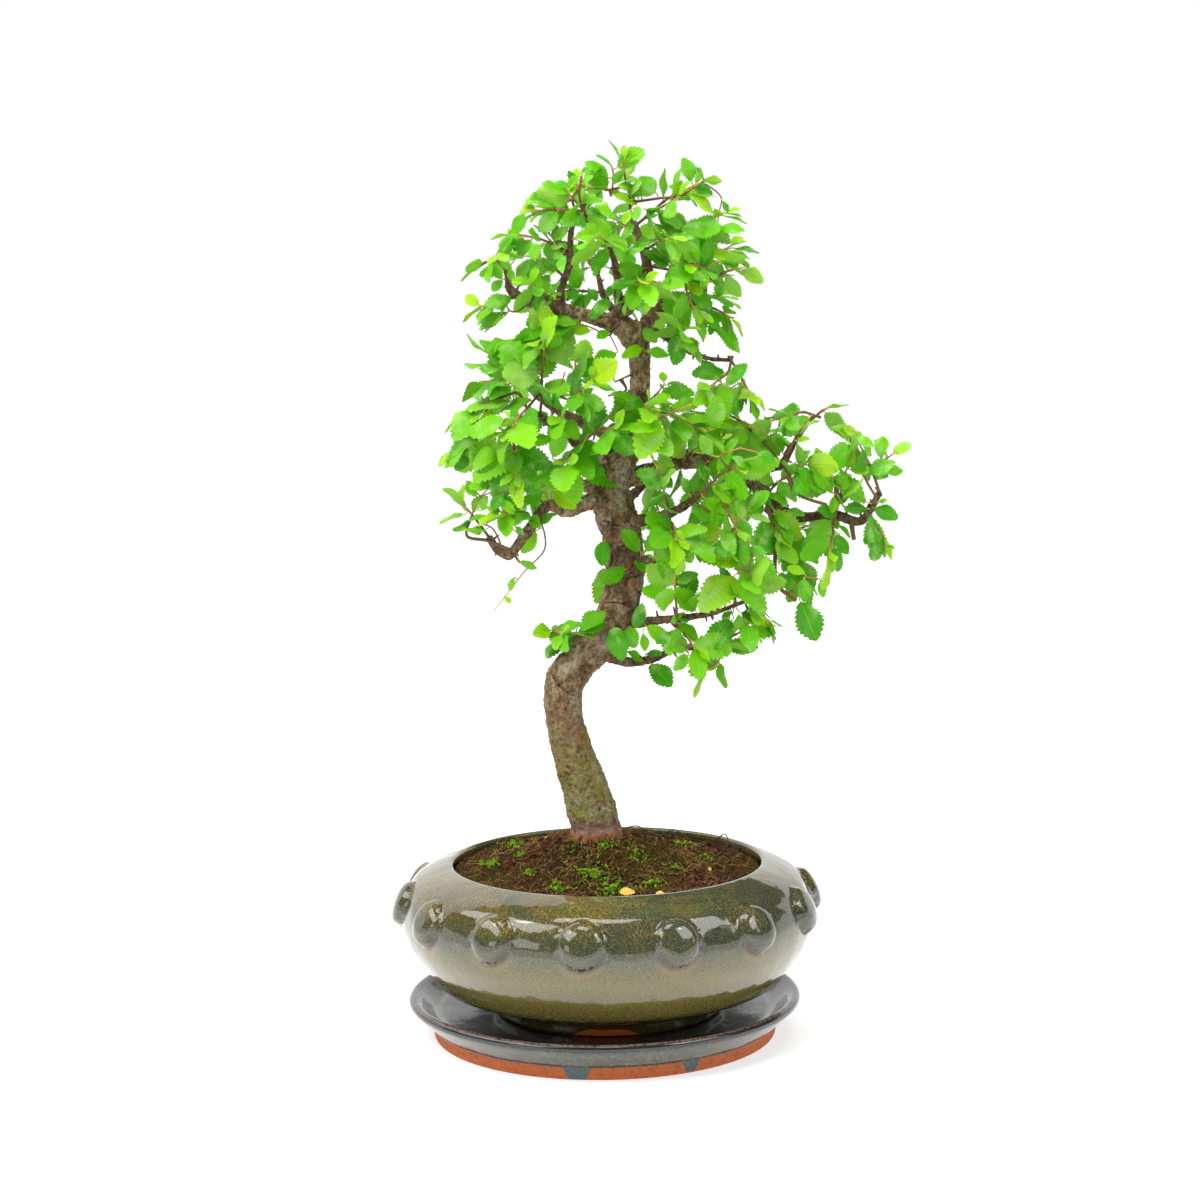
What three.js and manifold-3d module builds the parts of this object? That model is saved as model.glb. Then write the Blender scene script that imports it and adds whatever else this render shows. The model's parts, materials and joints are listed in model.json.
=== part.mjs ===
// A small-leaved bonsai tree in a round glazed pot on its saucer. Millimetres, +Z up.
// The origin is the centre of the saucer's flat underside, and the tree is seen from -Y.
import * as THREE from 'three';
import { mergeVertices } from 'three/addons/utils/BufferGeometryUtils.js';
import Module from 'manifold-3d';

const wasm = await Module();
wasm.setup();

// Driving dimensions of the saucer
const saucerBaseRadius = 83.2;
const saucerRimRadius = 95.7;
const saucerHeight = 20.2;
const saucerFloor = 12.5;
const saucerClayHeight = 6.2;
const saucerLipWidth = 6;
const saucerLipDip = 1.2;
const saucerFaces = 32;

// Driving dimensions of the pot
const potCentreX = 2.1;
const potRadius = 100.4;
const potTop = 85.2;
const potMouthRadius = 75.4;
const potWall = 6;
const potFloor = 27;
const potFootRadius = 56;
const potFootTop = 19.4;
const potWidestHeight = 58;
const potNeckDepth = 4;
const potFaces = 32;
const bossCount = 14;
const bossRingRadius = 98.4;
const bossHeight = 64.5;
const bossRadius = 10.2;
const bossProud = 5.5;
const bossTurn = -7.2;
const bossTilt = 0.35;
const bossFaces = 6;

// Driving dimensions of the soil
const soilEdge = 81.5;
const soilMound = 13;
const soilMoundWidth = 38;
const soilFaces = 20;
const soilRings = [52, 26];
const soilWave = 0.8;
const soilWaveX = 0.11;
const soilWaveY = 0.13;

// Clearances between separate pieces
const clearance = 0.3;
const leafClearance = 0.45;

// Driving dimensions of a leaf: half outlines as [share of length, share of half width]
const leafThickness = 1.2;
const leafHalfWidth = 0.28;
const leafFold = 0.22;
const leafDroop = 0.13;
const leafCrest = 0.5;
const largeLeaf = 20;
const largeLeafOutline = [
  [0.2, 0.55],
  [0.41, 1.0],
  [0.47, 0.83],
  [0.66, 0.85],
  [0.72, 0.62],
];
const smallLeafOutline = [
  [0.24, 0.64],
  [0.48, 1.0],
  [0.54, 0.8],
  [0.78, 0.56],
];

// Driving dimensions of a twig and of the leaf stalks that leave it
const twigRadius = 0.9;
const twigTipRadius = 0.6;
const stalkHalfWidth = 0.5;
const stalkHalfHeight = 0.45;
const firstLeaf = 0.34;
const forkShare = 0.3;
const twigSeed = 1000;
const twigSeedStep = 17;

// Ways tried for a twig, in mm aside and upward, where the straight one isn't free
const twigArch = 0.06;
const twigBends = [0, 4, -4, 8, -8, 12, -12, 17, -17];
const twigLifts = [0, 5, -5];

// How leaves stand on their twig: sizes are shares, angles are degrees from the twig, and
// a leaf looks upward and outward by a share between two limits
const leafSizes = [0.78, 1.12];
const leafSpreads = [44, 66];
const tipLeafSpread = 8;
const leafSags = [0.1, 0.55];
const leafUpward = [0.35, 1.75];
const leafOutward = [0.4, 1.2];
const leafTurns = [0, 20, -20, 40, -40, 62, -62, 85];
const leafShrinks = [1, 0.86, 0.74];
const leafRoll = 1.0;
const leafProbe = 1.3;
const crownAxis = 8;

// Sides of the trunk, its limbs and its roots
const trunkSides = 7;
const limbSides = 5;
const thinLimbSides = 4;
const thinLimb = 3;
const rootSides = 4;

// The trunk's axis with its radius: [x, y, z, radius]
const trunkPath = [
  [-3, 17, 62, 10],
  [-3, 16, 84, 13.2],
  [-3, 16, 93, 13.4],
  [-4, 15, 103, 12.2],
  [-8, 14, 117, 11.4],
  [-14, 11, 137, 10],
  [-18, 7, 157, 9],
  [-17.5, 4.5, 171, 9.7],
  [-11, 3, 182, 9.6],
  [-1, 2, 193, 10.2],
  [7.5, 2, 204, 9.9],
  [12, 2, 219, 9.1],
  [13, 4, 237, 8.8],
  [9, 5, 252, 10.2],
  [6, 5, 266, 8.8],
  [11, 6, 279, 8],
  [17, 6, 293, 6.2],
  [20, 6, 308, 4.5],
  [21, 5, 325, 4.8],
  [19, 4, 338, 6],
  [17, 3, 344, 4.6],
];

// Surface roots: [x, y, z] of the end of each, and the radius where it leaves the collar
const rootHeight = 94;
const rootKnee = 0.55;
const rootKneeDrop = 3.2;
const rootTipRadius = 1.2;
const roots = [
  { end: [-27, 12, 85], radius: 4.2 },
  { end: [-13, -8, 87], radius: 4.4 },
  { end: [10, -4, 87], radius: 3.8 },
  { end: [20, 21, 85], radius: 4.2 },
  { end: [-2, 40, 84], radius: 4.4 },
];

// Limbs: first point inside what each grows from, radii at its two ends
const limbs = {
  leftLimb: {
    radii: [4, 1.7],
    path: [[9, 4, 276], [-3, -2, 285], [-10, -6, 290], [-16, -10, 296], [-23, -14, 300], [-33, -18, 306]],
  },
  leftBack: {
    radii: [3.4, 1.5],
    path: [[14, 6, 288], [3, 14, 292], [-8, 23, 297], [-19, 32, 302], [-31, 36, 310]],
  },
  upperLeft: {
    radii: [4, 1.2],
    path: [[17, 4, 341], [2, 2, 347], [-13, -2, 351], [-31, -6, 356], [-40, -9, 362], [-41, -10, 370],
      [-46, -11, 376]],
  },
  upperLeftRise: {
    radii: [2.3, 1.2],
    path: [[-16, -2, 351], [-16, -5, 362], [-12, -9, 372], [-11, -12, 387], [-8, -12, 397]],
  },
  crown: {
    radii: [4.8, 1.3],
    path: [[18, 4, 338], [11, 2, 347], [17, 0, 355], [24, 0, 361], [25, 1, 369], [22, 2, 383],
      [17, 3, 397]],
  },
  crownRight: {
    radii: [3.6, 1.3],
    path: [[19, 5, 336], [25, 10, 345], [31, 14, 353], [35, 19, 362], [38, 25, 372]],
  },
  crownForward: {
    radii: [2.6, 1.2],
    path: [[29, 12, 349], [36, 8, 351], [44, 4, 353], [51, 0, 357], [52, -4, 364]],
  },
  crownLow: {
    radii: [2, 1],
    path: [[20, 6, 343], [30, 2, 340], [40, -2, 333], [53, -5, 328], [64, -7, 327]],
  },
  crownLight: {
    radii: [2.2, 1.1],
    path: [[12, 2, 348], [11, -5, 357], [10, -10, 371], [6, -14, 383], [-1, -16, 392]],
  },
  crownBack: {
    radii: [2.6, 1.1],
    path: [[17, 4, 341], [10, 14, 349], [4, 24, 358], [1, 31, 370]],
  },
  rightMid: {
    radii: [3.4, 1.6],
    path: [[10, 5, 248], [19, -6, 251], [30, -14, 254], [40, -21, 259], [48, -27, 266]],
  },
  farRight: {
    radii: [4, 1.7],
    path: [[9, 6, 269], [28, 12, 274], [45, 14, 278], [60, 12, 275], [78, 9, 266], [84, 7, 257],
      [97, 5, 251], [112, 3, 252], [126, 1, 249], [131, 0, 256], [135, 0, 263]],
  },
  knob: {
    radii: [2.6, 1.1],
    path: [[72, 10, 269], [80, 6, 274], [88, 4, 276], [92, 3, 283], [98, 0, 293], [104, -1, 300]],
  },
  backLimb: {
    radii: [3.6, 1.3],
    path: [[9, 6, 253], [14, 22, 258], [24, 36, 266], [38, 46, 275]],
  },
  backLeft: {
    radii: [3, 1.2],
    path: [[7, 6, 262], [-6, 20, 266], [-20, 32, 270], [-33, 40, 278]],
  },
  lowRight: {
    radii: [2.6, 1],
    path: [[9, 2, 199], [26, -6, 203], [39, -12, 205], [54, -17, 208], [70, -20, 214]],
  },
  lowest: {
    radii: [2.8, 1],
    path: [[-2, 2, 188], [12, 10, 181], [25, 16, 181], [40, 20, 186], [58, 23, 184], [78, 26, 185]],
  },
  lowBack: {
    radii: [2.8, 1.1],
    path: [[10, 2, 212], [6, 18, 216], [10, 32, 222], [18, 44, 226]],
  },
  stub: {
    radii: [2.2, 1.2],
    path: [[12, 3, 233], [21, -5, 233], [27, -9, 230], [29, -10, 221], [30, -12, 213]],
  },
  leftLow: {
    radii: [3.8, 1.7],
    path: [[8, 4, 259], [-3, -7, 261], [-15, -11, 257], [-23, -14, 260], [-34, -18, 247], [-43, -18, 237],
      [-48, -18, 240], [-52, -18, 246]],
  },
};

// Leafy sprays: the limb each grows from, the share of its length where it leaves,
// and its shoots as [x, y, z of the tip, number of leaves, leaf length].
// A second shoot forks from the first.
const sprays = [
  { limb: 'crown', at: 1, shoots: [[14, -4, 419, 5, 18], [-2, 8, 409, 4, 16]] },
  { limb: 'crown', at: 0.9, shoots: [[38, -6, 402, 4, 17], [52, 2, 411, 4, 14]] },
  { limb: 'crown', at: 0.72, shoots: [[60, -4, 395, 5, 17]] },
  { limb: 'crown', at: 0.6, shoots: [[62, 4, 379, 4, 17], [46, -20, 352, 4, 18]] },
  { limb: 'crown', at: 0.75, shoots: [[34, -28, 384, 5, 18]] },
  { limb: 'crown', at: 0.8, shoots: [[6, 28, 396, 5, 18]] },
  { limb: 'crownLight', at: 1, shoots: [[-12, -24, 406, 4, 17], [-26, -12, 398, 4, 14]] },
  { limb: 'crownLight', at: 0.7, shoots: [[2, -36, 386, 5, 18]] },
  { limb: 'crownLight', at: 0.35, shoots: [[22, -36, 364, 5, 18]] },
  { limb: 'upperLeftRise', at: 1, shoots: [[-22, -8, 403, 4, 15], [-6, -6, 411, 3, 13]] },
  { limb: 'upperLeftRise', at: 0.6, shoots: [[-38, -18, 388, 4, 16]] },
  { limb: 'upperLeftRise', at: 0.35, shoots: [[-32, 8, 377, 4, 17]] },
  { limb: 'upperLeft', at: 1, shoots: [[-58, -14, 371, 4, 15], [-44, -24, 378, 3, 13]] },
  { limb: 'upperLeft', at: 0.72, shoots: [[-60, -2, 352, 4, 16]] },
  { limb: 'upperLeft', at: 0.5, shoots: [[-30, -28, 364, 4, 17]] },
  { limb: 'upperLeft', at: 0.32, shoots: [[-26, -26, 338, 5, 18]] },
  { limb: 'crownBack', at: 1, shoots: [[-10, 46, 378, 4, 18], [16, 44, 384, 3, 17]] },
  { limb: 'crownBack', at: 0.7, shoots: [[-24, 34, 358, 4, 18]] },
  { limb: 'crownBack', at: 0.45, shoots: [[24, 38, 350, 4, 18]] },
  { limb: 'crownRight', at: 1, shoots: [[50, 38, 384, 3, 17], [62, 20, 376, 4, 17]] },
  { limb: 'crownRight', at: 0.6, shoots: [[60, 28, 356, 4, 18]] },
  { limb: 'crownForward', at: 1, shoots: [[68, -12, 370, 4, 17], [44, -26, 372, 4, 17]] },
  { limb: 'crownForward', at: 0.6, shoots: [[64, -6, 347, 4, 17]] },
  { limb: 'crownLow', at: 1, shoots: [[72, -12, 312, 5, 17], [54, -22, 316, 3, 16]] },
  { limb: 'crownLow', at: 0.45, shoots: [[40, -26, 342, 4, 18]] },
  { limb: 'leftLimb', at: 1, shoots: [[-50, -22, 332, 5, 21], [-66, -18, 306, 5, 20]] },
  { limb: 'leftLimb', at: 0.86, shoots: [[-24, -30, 334, 5, 21], [-40, -42, 298, 5, 20]] },
  { limb: 'leftLimb', at: 0.7, shoots: [[-2, -38, 320, 4, 20], [-16, -32, 303, 3, 20]] },
  { limb: 'leftLimb', at: 0.92, shoots: [[-66, -10, 286, 5, 19], [-38, -32, 278, 4, 20]] },
  { limb: 'leftLimb', at: 0.4, shoots: [[-14, -36, 282, 4, 20], [8, -34, 298, 4, 20]] },
  { limb: 'leftBack', at: 1, shoots: [[-46, 40, 330, 4, 20], [-60, 26, 318, 4, 20]] },
  { limb: 'leftBack', at: 0.6, shoots: [[-10, 38, 324, 4, 20]] },
  { limb: 'backLeft', at: 1, shoots: [[-60, 40, 284, 4, 19], [-40, 56, 294, 4, 19]] },
  { limb: 'backLeft', at: 0.6, shoots: [[-36, 46, 258, 4, 18]] },
  { limb: 'leftLow', at: 1, shoots: [[-64, -22, 262, 4, 16]] },
  { limb: 'leftLow', at: 0.55, shoots: [[-44, -30, 258, 4, 16], [-46, -8, 212, 3, 12]] },
  { limb: 'trunk', at: 0.86, shoots: [[24, -32, 306, 5, 20], [48, -22, 296, 5, 20]] },
  { limb: 'trunk', at: 0.83, shoots: [[32, 36, 312, 4, 20], [52, 26, 300, 3, 20]] },
  { limb: 'rightMid', at: 1, shoots: [[66, -34, 280, 5, 19], [64, -34, 250, 5, 20]] },
  { limb: 'rightMid', at: 0.6, shoots: [[36, -42, 246, 5, 20], [28, -34, 278, 5, 20]] },
  { limb: 'farRight', at: 0.3, shoots: [[60, -10, 292, 5, 19], [52, -6, 256, 4, 20]] },
  { limb: 'farRight', at: 0.4, shoots: [[82, 26, 290, 4, 19], [70, 32, 262, 4, 19]] },
  { limb: 'farRight', at: 0.5, shoots: [[84, -12, 246, 4, 20], [98, -10, 277, 4, 19]] },
  { limb: 'farRight', at: 0.63, shoots: [[98, 0, 222, 5, 19], [108, 22, 244, 4, 18]] },
  { limb: 'farRight', at: 0.8, shoots: [[110, -14, 236, 5, 19], [118, -8, 274, 4, 18]] },
  { limb: 'farRight', at: 1, shoots: [[122, -2, 293, 4, 18], [146, 4, 284, 4, 16]] },
  { limb: 'farRight', at: 0.92, shoots: [[136, -6, 242, 4, 19]] },
  { limb: 'knob', at: 1, shoots: [[112, -4, 305, 3, 15], [84, -4, 298, 4, 17]] },
  { limb: 'knob', at: 0.4, shoots: [[68, -8, 298, 4, 18]] },
  { limb: 'backLimb', at: 1, shoots: [[56, 58, 286, 4, 19], [62, 42, 262, 4, 19]] },
  { limb: 'backLimb', at: 0.65, shoots: [[18, 60, 272, 4, 19], [32, 54, 246, 3, 19]] },
  { limb: 'lowRight', at: 0.9, shoots: [[70, -30, 228, 4, 20], [80, -18, 204, 4, 18]] },
  { limb: 'lowRight', at: 0.4, shoots: [[44, -30, 194, 5, 19], [36, -22, 226, 4, 19]] },
  { limb: 'lowest', at: 0.75, shoots: [[76, 34, 194, 4, 18], [52, 12, 176, 3, 18]] },
  { limb: 'lowBack', at: 1, shoots: [[32, 52, 236, 3, 19], [8, 58, 218, 3, 19]] },
  { limb: 'trunk', at: 0.47, shoots: [[-18, -18, 199, 5, 18]] },
];

// Repeatable random numbers
function randomFrom(seed) {
  let state = seed;
  return () => {
    state = (state + 0x6d2b79f5) | 0;
    let t = Math.imul(state ^ (state >>> 15), 1 | state);
    t = (t + Math.imul(t ^ (t >>> 7), 61 | t)) ^ t;
    return ((t ^ (t >>> 14)) >>> 0) / 4294967296;
  };
}

const between = ([low, high], random) => THREE.MathUtils.lerp(low, high, random());
const vector = (p) => new THREE.Vector3(p[0], p[1], p[2]);
const degrees = THREE.MathUtils.degToRad;
const smooth = (path) => new THREE.CatmullRomCurve3(path.map(vector), false, 'centripetal');

// Solids from geometry, and back
function solid(geometry) {
  const bare = geometry.clone();
  for (const name of ['normal', 'uv']) bare.deleteAttribute(name);
  const merged = mergeVertices(bare, 1e-4);
  return new wasm.Manifold(new wasm.Mesh({
    numProp: 3,
    vertProperties: new Float32Array(merged.attributes.position.array),
    triVerts: new Uint32Array(merged.index.array),
  }));
}

function geometryOf(body) {
  const mesh = body.getMesh();
  const geometry = new THREE.BufferGeometry();
  geometry.setAttribute('position', new THREE.BufferAttribute(mesh.vertProperties, 3));
  geometry.setIndex(new THREE.BufferAttribute(mesh.triVerts, 1));
  geometry.computeVertexNormals();
  return geometry;
}

function closedGeometry(points, faces) {
  const geometry = new THREE.BufferGeometry();
  geometry.setAttribute('position', new THREE.Float32BufferAttribute(points.flat(), 3));
  geometry.setIndex(faces.flat());
  return geometry;
}

function turned(profile, faces, centreX) {
  const points = profile.map(([r, z]) => new THREE.Vector2(r, z));
  const geometry = new THREE.LatheGeometry(points, faces);
  geometry.rotateX(Math.PI / 2);
  geometry.translate(centreX, 0, 0);
  return geometry;
}

const joined = (bodies) => bodies.reduce((whole, body) => whole.add(body));

// Cross-section frames carried along a curve without twist
function framesAlong(curve, shares) {
  const frames = [];
  let across = new THREE.Vector3(1, 0, 0);
  if (Math.abs(curve.getTangent(shares[0]).x) > 0.9) across = new THREE.Vector3(0, 1, 0);
  for (const share of shares) {
    const along = curve.getTangent(share);
    across = across.clone().addScaledVector(along, -across.dot(along)).normalize();
    frames.push({
      centre: curve.getPoint(share),
      along,
      across,
      over: new THREE.Vector3().crossVectors(along, across),
    });
  }
  return frames;
}

// A tapering stem with few sides along a smooth curve, closed at both ends
function stem(path, radii, sides, grow = 0) {
  const curve = smooth(path);
  const steps = path.length - 1;
  const shares = path.map((_, i) => i / steps);
  const points = [];
  const faces = [];
  for (const [i, frame] of framesAlong(curve, shares).entries()) {
    const place = shares[i] * (radii.length - 1);
    const k = Math.min(Math.floor(place), radii.length - 2);
    const radius = THREE.MathUtils.lerp(radii[k], radii[k + 1], place - k) + grow;
    for (let j = 0; j < sides; j++) {
      const angle = (2 * Math.PI * j) / sides;
      const p = frame.centre.clone()
        .addScaledVector(frame.across, radius * Math.cos(angle))
        .addScaledVector(frame.over, radius * Math.sin(angle));
      points.push(p.toArray());
    }
  }
  for (let i = 0; i < steps; i++) {
    for (let j = 0; j < sides; j++) {
      const a = i * sides + j;
      const b = i * sides + ((j + 1) % sides);
      faces.push([a, b, b + sides], [a, b + sides, a + sides]);
    }
  }
  const last = steps * sides;
  for (let j = 1; j < sides - 1; j++) {
    faces.push([0, j + 1, j], [last, last + j, last + j + 1]);
  }
  return solid(closedGeometry(points, faces));
}

// Saucer
const saucerBody = solid(turned([
  [0, 0],
  [saucerBaseRadius, 0],
  [saucerBaseRadius + 1, saucerClayHeight],
  [saucerRimRadius - saucerLipWidth / 2, saucerHeight - 5.6],
  [saucerRimRadius, saucerHeight - 2.8],
  [saucerRimRadius - saucerLipDip, saucerHeight],
  [saucerRimRadius - saucerLipWidth, saucerHeight - saucerLipDip],
  [saucerBaseRadius - 1, saucerFloor],
  [0, saucerFloor],
], saucerFaces, 0));

// Pot: outer form with its bosses, less the room for the soil
function boss(index) {
  const dome = new THREE.LatheGeometry([
    [0, -bossProud],
    [bossRadius, 0],
    [bossRadius * 0.68, bossProud * 0.72],
    [0, bossProud],
  ].map(([r, z]) => new THREE.Vector2(r, z)), bossFaces);
  dome.rotateZ(-Math.PI / 2 + bossTilt);
  dome.translate(bossRingRadius, 0, 0);
  dome.rotateX(Math.PI / 2);
  dome.rotateZ(degrees(bossTurn + (360 / bossCount) * index - 90));
  dome.translate(potCentreX, 0, bossHeight);
  return solid(dome);
}

const potOutside = [
  [0, saucerFloor],
  [potFootRadius - 1, saucerFloor],
  [potFootRadius, potFootTop],
  [76, 24],
  [88, 32],
  [97, 45],
  [potRadius, potWidestHeight],
  [98, 70.5],
  [91, 79.4],
  [potMouthRadius, potTop],
  [0, potTop],
];
const roomFloorRadius = potFootRadius + 8;
const roomWidest = potRadius - potWall;
const roomNeck = potMouthRadius - 1.2;
const abovePot = potTop + 2;
const soilRoom = [
  [0, potFloor],
  [roomFloorRadius, potFloor],
  [roomWidest, potWidestHeight],
  [roomNeck, potTop - potNeckDepth],
  [roomNeck, abovePot],
  [0, abovePot],
];
let potBody = solid(turned(potOutside, potFaces, potCentreX));
for (let index = 0; index < bossCount; index++) {
  potBody = potBody.add(boss(index));
}
potBody = potBody.subtract(solid(turned(soilRoom, potFaces, potCentreX)));

// Soil: fills the pot and rises to the trunk
function soilHeight(x, y) {
  const distance = Math.hypot(x - trunkPath[1][0], y - trunkPath[1][1]);
  const mound = soilMound * Math.exp(-((distance / soilMoundWidth) ** 2));
  return soilEdge + mound + soilWave * Math.sin(x * soilWaveX + 1) * Math.cos(y * soilWaveY);
}

function soilGeometry() {
  const edge = roomNeck - clearance;
  const geometry = turned([
    [0, potFloor],
    [roomFloorRadius - clearance, potFloor],
    [roomWidest - 3 * clearance, potWidestHeight],
    [edge, potTop - potNeckDepth - clearance],
    ...soilRings.map((r) => [r, potTop]),
    [0, potTop],
  ], soilFaces, potCentreX);
  const position = geometry.attributes.position;
  for (let i = 0; i < position.count; i++) {
    if (position.getZ(i) > potTop - 1) {
      position.setZ(i, soilHeight(position.getX(i), position.getY(i)));
    }
  }
  return geometry;
}

// Trunk with its roots and limbs. A grown copy keeps the neighbours clear of it.
function wood(grow) {
  const bodies = [stem(trunkPath, trunkPath.map((p) => p[3]), trunkSides, grow)];
  for (const { end, radius } of roots) {
    const start = [trunkPath[1][0], trunkPath[1][1], rootHeight];
    const middle = start.map((value, i) => THREE.MathUtils.lerp(value, end[i], rootKnee));
    middle[2] = rootHeight - rootKneeDrop;
    bodies.push(stem([start, middle, end], [radius, radius * 0.7, rootTipRadius], rootSides, grow));
  }
  for (const limb of Object.values(limbs)) {
    const sides = limb.radii[0] < thinLimb ? thinLimbSides : limbSides;
    bodies.push(stem(limb.path, limb.radii, sides, grow));
  }
  return joined(bodies);
}

const trunkBody = wood(0);
const trunkRoom = wood(clearance);
const soilBody = solid(soilGeometry()).subtract(trunkRoom);

// A leaf's points and faces: it lies along +X with its face to +Z. The first four points
// are its stalk's right, left, top and under sides, and grow gives the larger leaf that
// tests its room.
function leafShape(length, grow = 0) {
  const halfWidth = leafHalfWidth * length + grow;
  const outline = length < largeLeaf ? smallLeafOutline : largeLeafOutline;
  const rim = (x, y) => [x, y, leafFold * Math.abs(y) - leafDroop * length * (x / length) ** 2];
  const side = outline.map(([s, w]) => rim(s * length, w * halfWidth));
  const crest = leafCrest * length;
  const crestZ = -leafDroop * length * leafCrest ** 2;
  const half = leafThickness / 2 + grow;
  const points = [
    [0, -stalkHalfWidth - grow, 0],
    [0, stalkHalfWidth + grow, 0],
    [0, 0, stalkHalfHeight + grow],
    [0, 0, -stalkHalfHeight - grow],
    ...side.map(([x, y, z]) => [x, -y, z]),
    rim(length + grow, 0),
    ...side.slice().reverse(),
    [crest, 0, crestZ + half],
    [crest, 0, crestZ - half],
  ];
  const [right, left, over, beneath] = [0, 1, 2, 3];
  const top = points.length - 2;
  const under = points.length - 1;
  const border = [right, ...[...points.keys()].slice(4, top), left];
  const faces = [[top, left, over], [top, over, right], [under, beneath, left], [under, right, beneath]];
  for (let i = 0; i < border.length - 1; i++) {
    faces.push([top, border[i], border[i + 1]], [under, border[i + 1], border[i]]);
  }
  return { points, faces };
}

function placeOf(origin, forward, normal) {
  const side = new THREE.Vector3().crossVectors(normal, forward).normalize();
  const face = new THREE.Vector3().crossVectors(forward, side);
  return new THREE.Matrix4().makeBasis(forward, side, face).setPosition(origin);
}

function leafBody(length, place, grow = 0) {
  const { points, faces } = leafShape(length, grow);
  const geometry = closedGeometry(points, [...faces, [0, 2, 3], [1, 3, 2]]);
  return solid(geometry.applyMatrix4(place));
}

// What is already in place: wood, twigs and leaves, each with its box
const standing = [];
function stand(body, owner) {
  standing.push({ body, owner, box: body.boundingBox() });
}

function boxesMeet(a, b) {
  return [0, 1, 2].every((i) => a.min[i] <= b.max[i] && b.min[i] <= a.max[i]);
}

function isClear(body, owner) {
  const box = body.boundingBox();
  return standing.every((other) => other.owner === owner || !boxesMeet(box, other.box)
    || body.intersect(other.body).isEmpty());
}

stand(trunkRoom, 'wood');
stand(soilBody, 'soil');
stand(potBody, 'pot');

// A twig from its start to its tip, bent aside where the straight way isn't free
function twigPath(start, tip, aside, lift) {
  const way = tip.clone().sub(start);
  const sideways = new THREE.Vector3(way.y, -way.x, 0).normalize();
  const middle = start.clone().addScaledVector(way, 0.5).addScaledVector(sideways, aside);
  middle.z += lift + twigArch * way.length();
  return [start.toArray(), middle.toArray(), tip.toArray()];
}

function clearTwig(start, tip, owner) {
  for (const lift of twigLifts) {
    for (const aside of twigBends) {
      const path = twigPath(start, tip, aside, lift);
      const curve = smooth(path);
      const free = [0.3, 0.65, 1].map((share) => curve.getPointAt(share).toArray());
      if (isClear(stem(free, [twigRadius, twigTipRadius], 4, leafClearance), owner)) return path;
    }
  }
  return twigPath(start, tip, 0, 0);
}

const twigRadiusAt = (share) => THREE.MathUtils.lerp(twigRadius, twigTipRadius, share);

// Leaves alternate along their twig and look up and outward. The first free place of a
// short list of turns and sizes is taken.
function leafFor(curve, share, sideSign, size, random, twigOwner) {
  const origin = curve.getPointAt(share);
  const along = curve.getTangentAt(share);
  const outward = new THREE.Vector3(origin.x - crownAxis, origin.y, 0).normalize();
  const facing = new THREE.Vector3(random() - 0.5, random() - 0.5, between(leafUpward, random));
  facing.addScaledVector(outward, between(leafOutward, random)).normalize();
  const across = new THREE.Vector3().crossVectors(facing, along).normalize().multiplyScalar(sideSign);
  const spread = degrees(share === 1 ? tipLeafSpread : between(leafSpreads, random));
  const sag = between(leafSags, random);
  const radius = share === 1 ? 0 : twigRadiusAt(share);
  for (const shrink of leafShrinks) {
    for (const turn of leafTurns) {
      const aside = across.clone().applyAxisAngle(along, degrees(turn));
      const forward = along.clone().multiplyScalar(Math.cos(spread));
      forward.addScaledVector(aside, Math.sin(spread));
      forward.z -= sag;
      forward.normalize();
      const normal = new THREE.Vector3().crossVectors(along, aside).multiplyScalar(sideSign);
      normal.addScaledVector(forward, -normal.dot(forward)).normalize();
      const side = new THREE.Vector3().crossVectors(forward, normal);
      const roll = Math.atan2(facing.dot(side), facing.dot(normal));
      normal.applyAxisAngle(forward, -THREE.MathUtils.clamp(roll, -leafRoll, leafRoll));
      const aim = forward.clone().addScaledVector(along, -forward.dot(along)).normalize();
      const base = origin.clone().addScaledVector(aim, radius);
      const outer = base.clone().addScaledVector(forward, leafProbe);
      const length = size * shrink;
      if (!isClear(leafBody(length, placeOf(outer, forward, normal), leafClearance), twigOwner)) continue;
      stand(leafBody(length, placeOf(base, forward, normal)), `${twigOwner} leaf`);
      return { share, length, forward, normal, base };
    }
  }
  return null;
}

// Loops of points round a stem are bridged in order of their angle
function angleIn(frame, point, centre) {
  const arm = point.clone().sub(centre);
  return Math.atan2(arm.dot(frame.over), arm.dot(frame.across));
}

const wrapped = (angle) => angle - 2 * Math.PI * Math.floor(angle / (2 * Math.PI) + 0.5);

function bridge(lower, upper, faces) {
  const offsets = upper.map((p) => wrapped(p.angle - lower[0].angle));
  const first = offsets.indexOf(offsets.reduce((a, b) => (Math.abs(a) < Math.abs(b) ? a : b)));
  const turn = (loop, start, from) => {
    const list = [{ id: loop[start].id, angle: from }];
    for (let i = 1; i <= loop.length; i++) {
      const here = loop[(start + i) % loop.length];
      const before = loop[(start + i - 1) % loop.length];
      let step = wrapped(here.angle - before.angle);
      if (step <= 0) step += 2 * Math.PI;
      list.push({ id: here.id, angle: list[i - 1].angle + step });
    }
    return list;
  };
  const a = turn(lower, 0, 0);
  const b = turn(upper, first, offsets[first]);
  let i = 0;
  let j = 0;
  while (i < lower.length || j < upper.length) {
    const lowerNext = i < lower.length && (j >= upper.length || a[i + 1].angle <= b[j + 1].angle);
    if (lowerNext) {
      faces.push([a[i].id, a[i + 1].id, b[j].id]);
      i += 1;
    } else {
      faces.push([a[i].id, b[j + 1].id, b[j].id]);
      j += 1;
    }
  }
}

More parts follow.
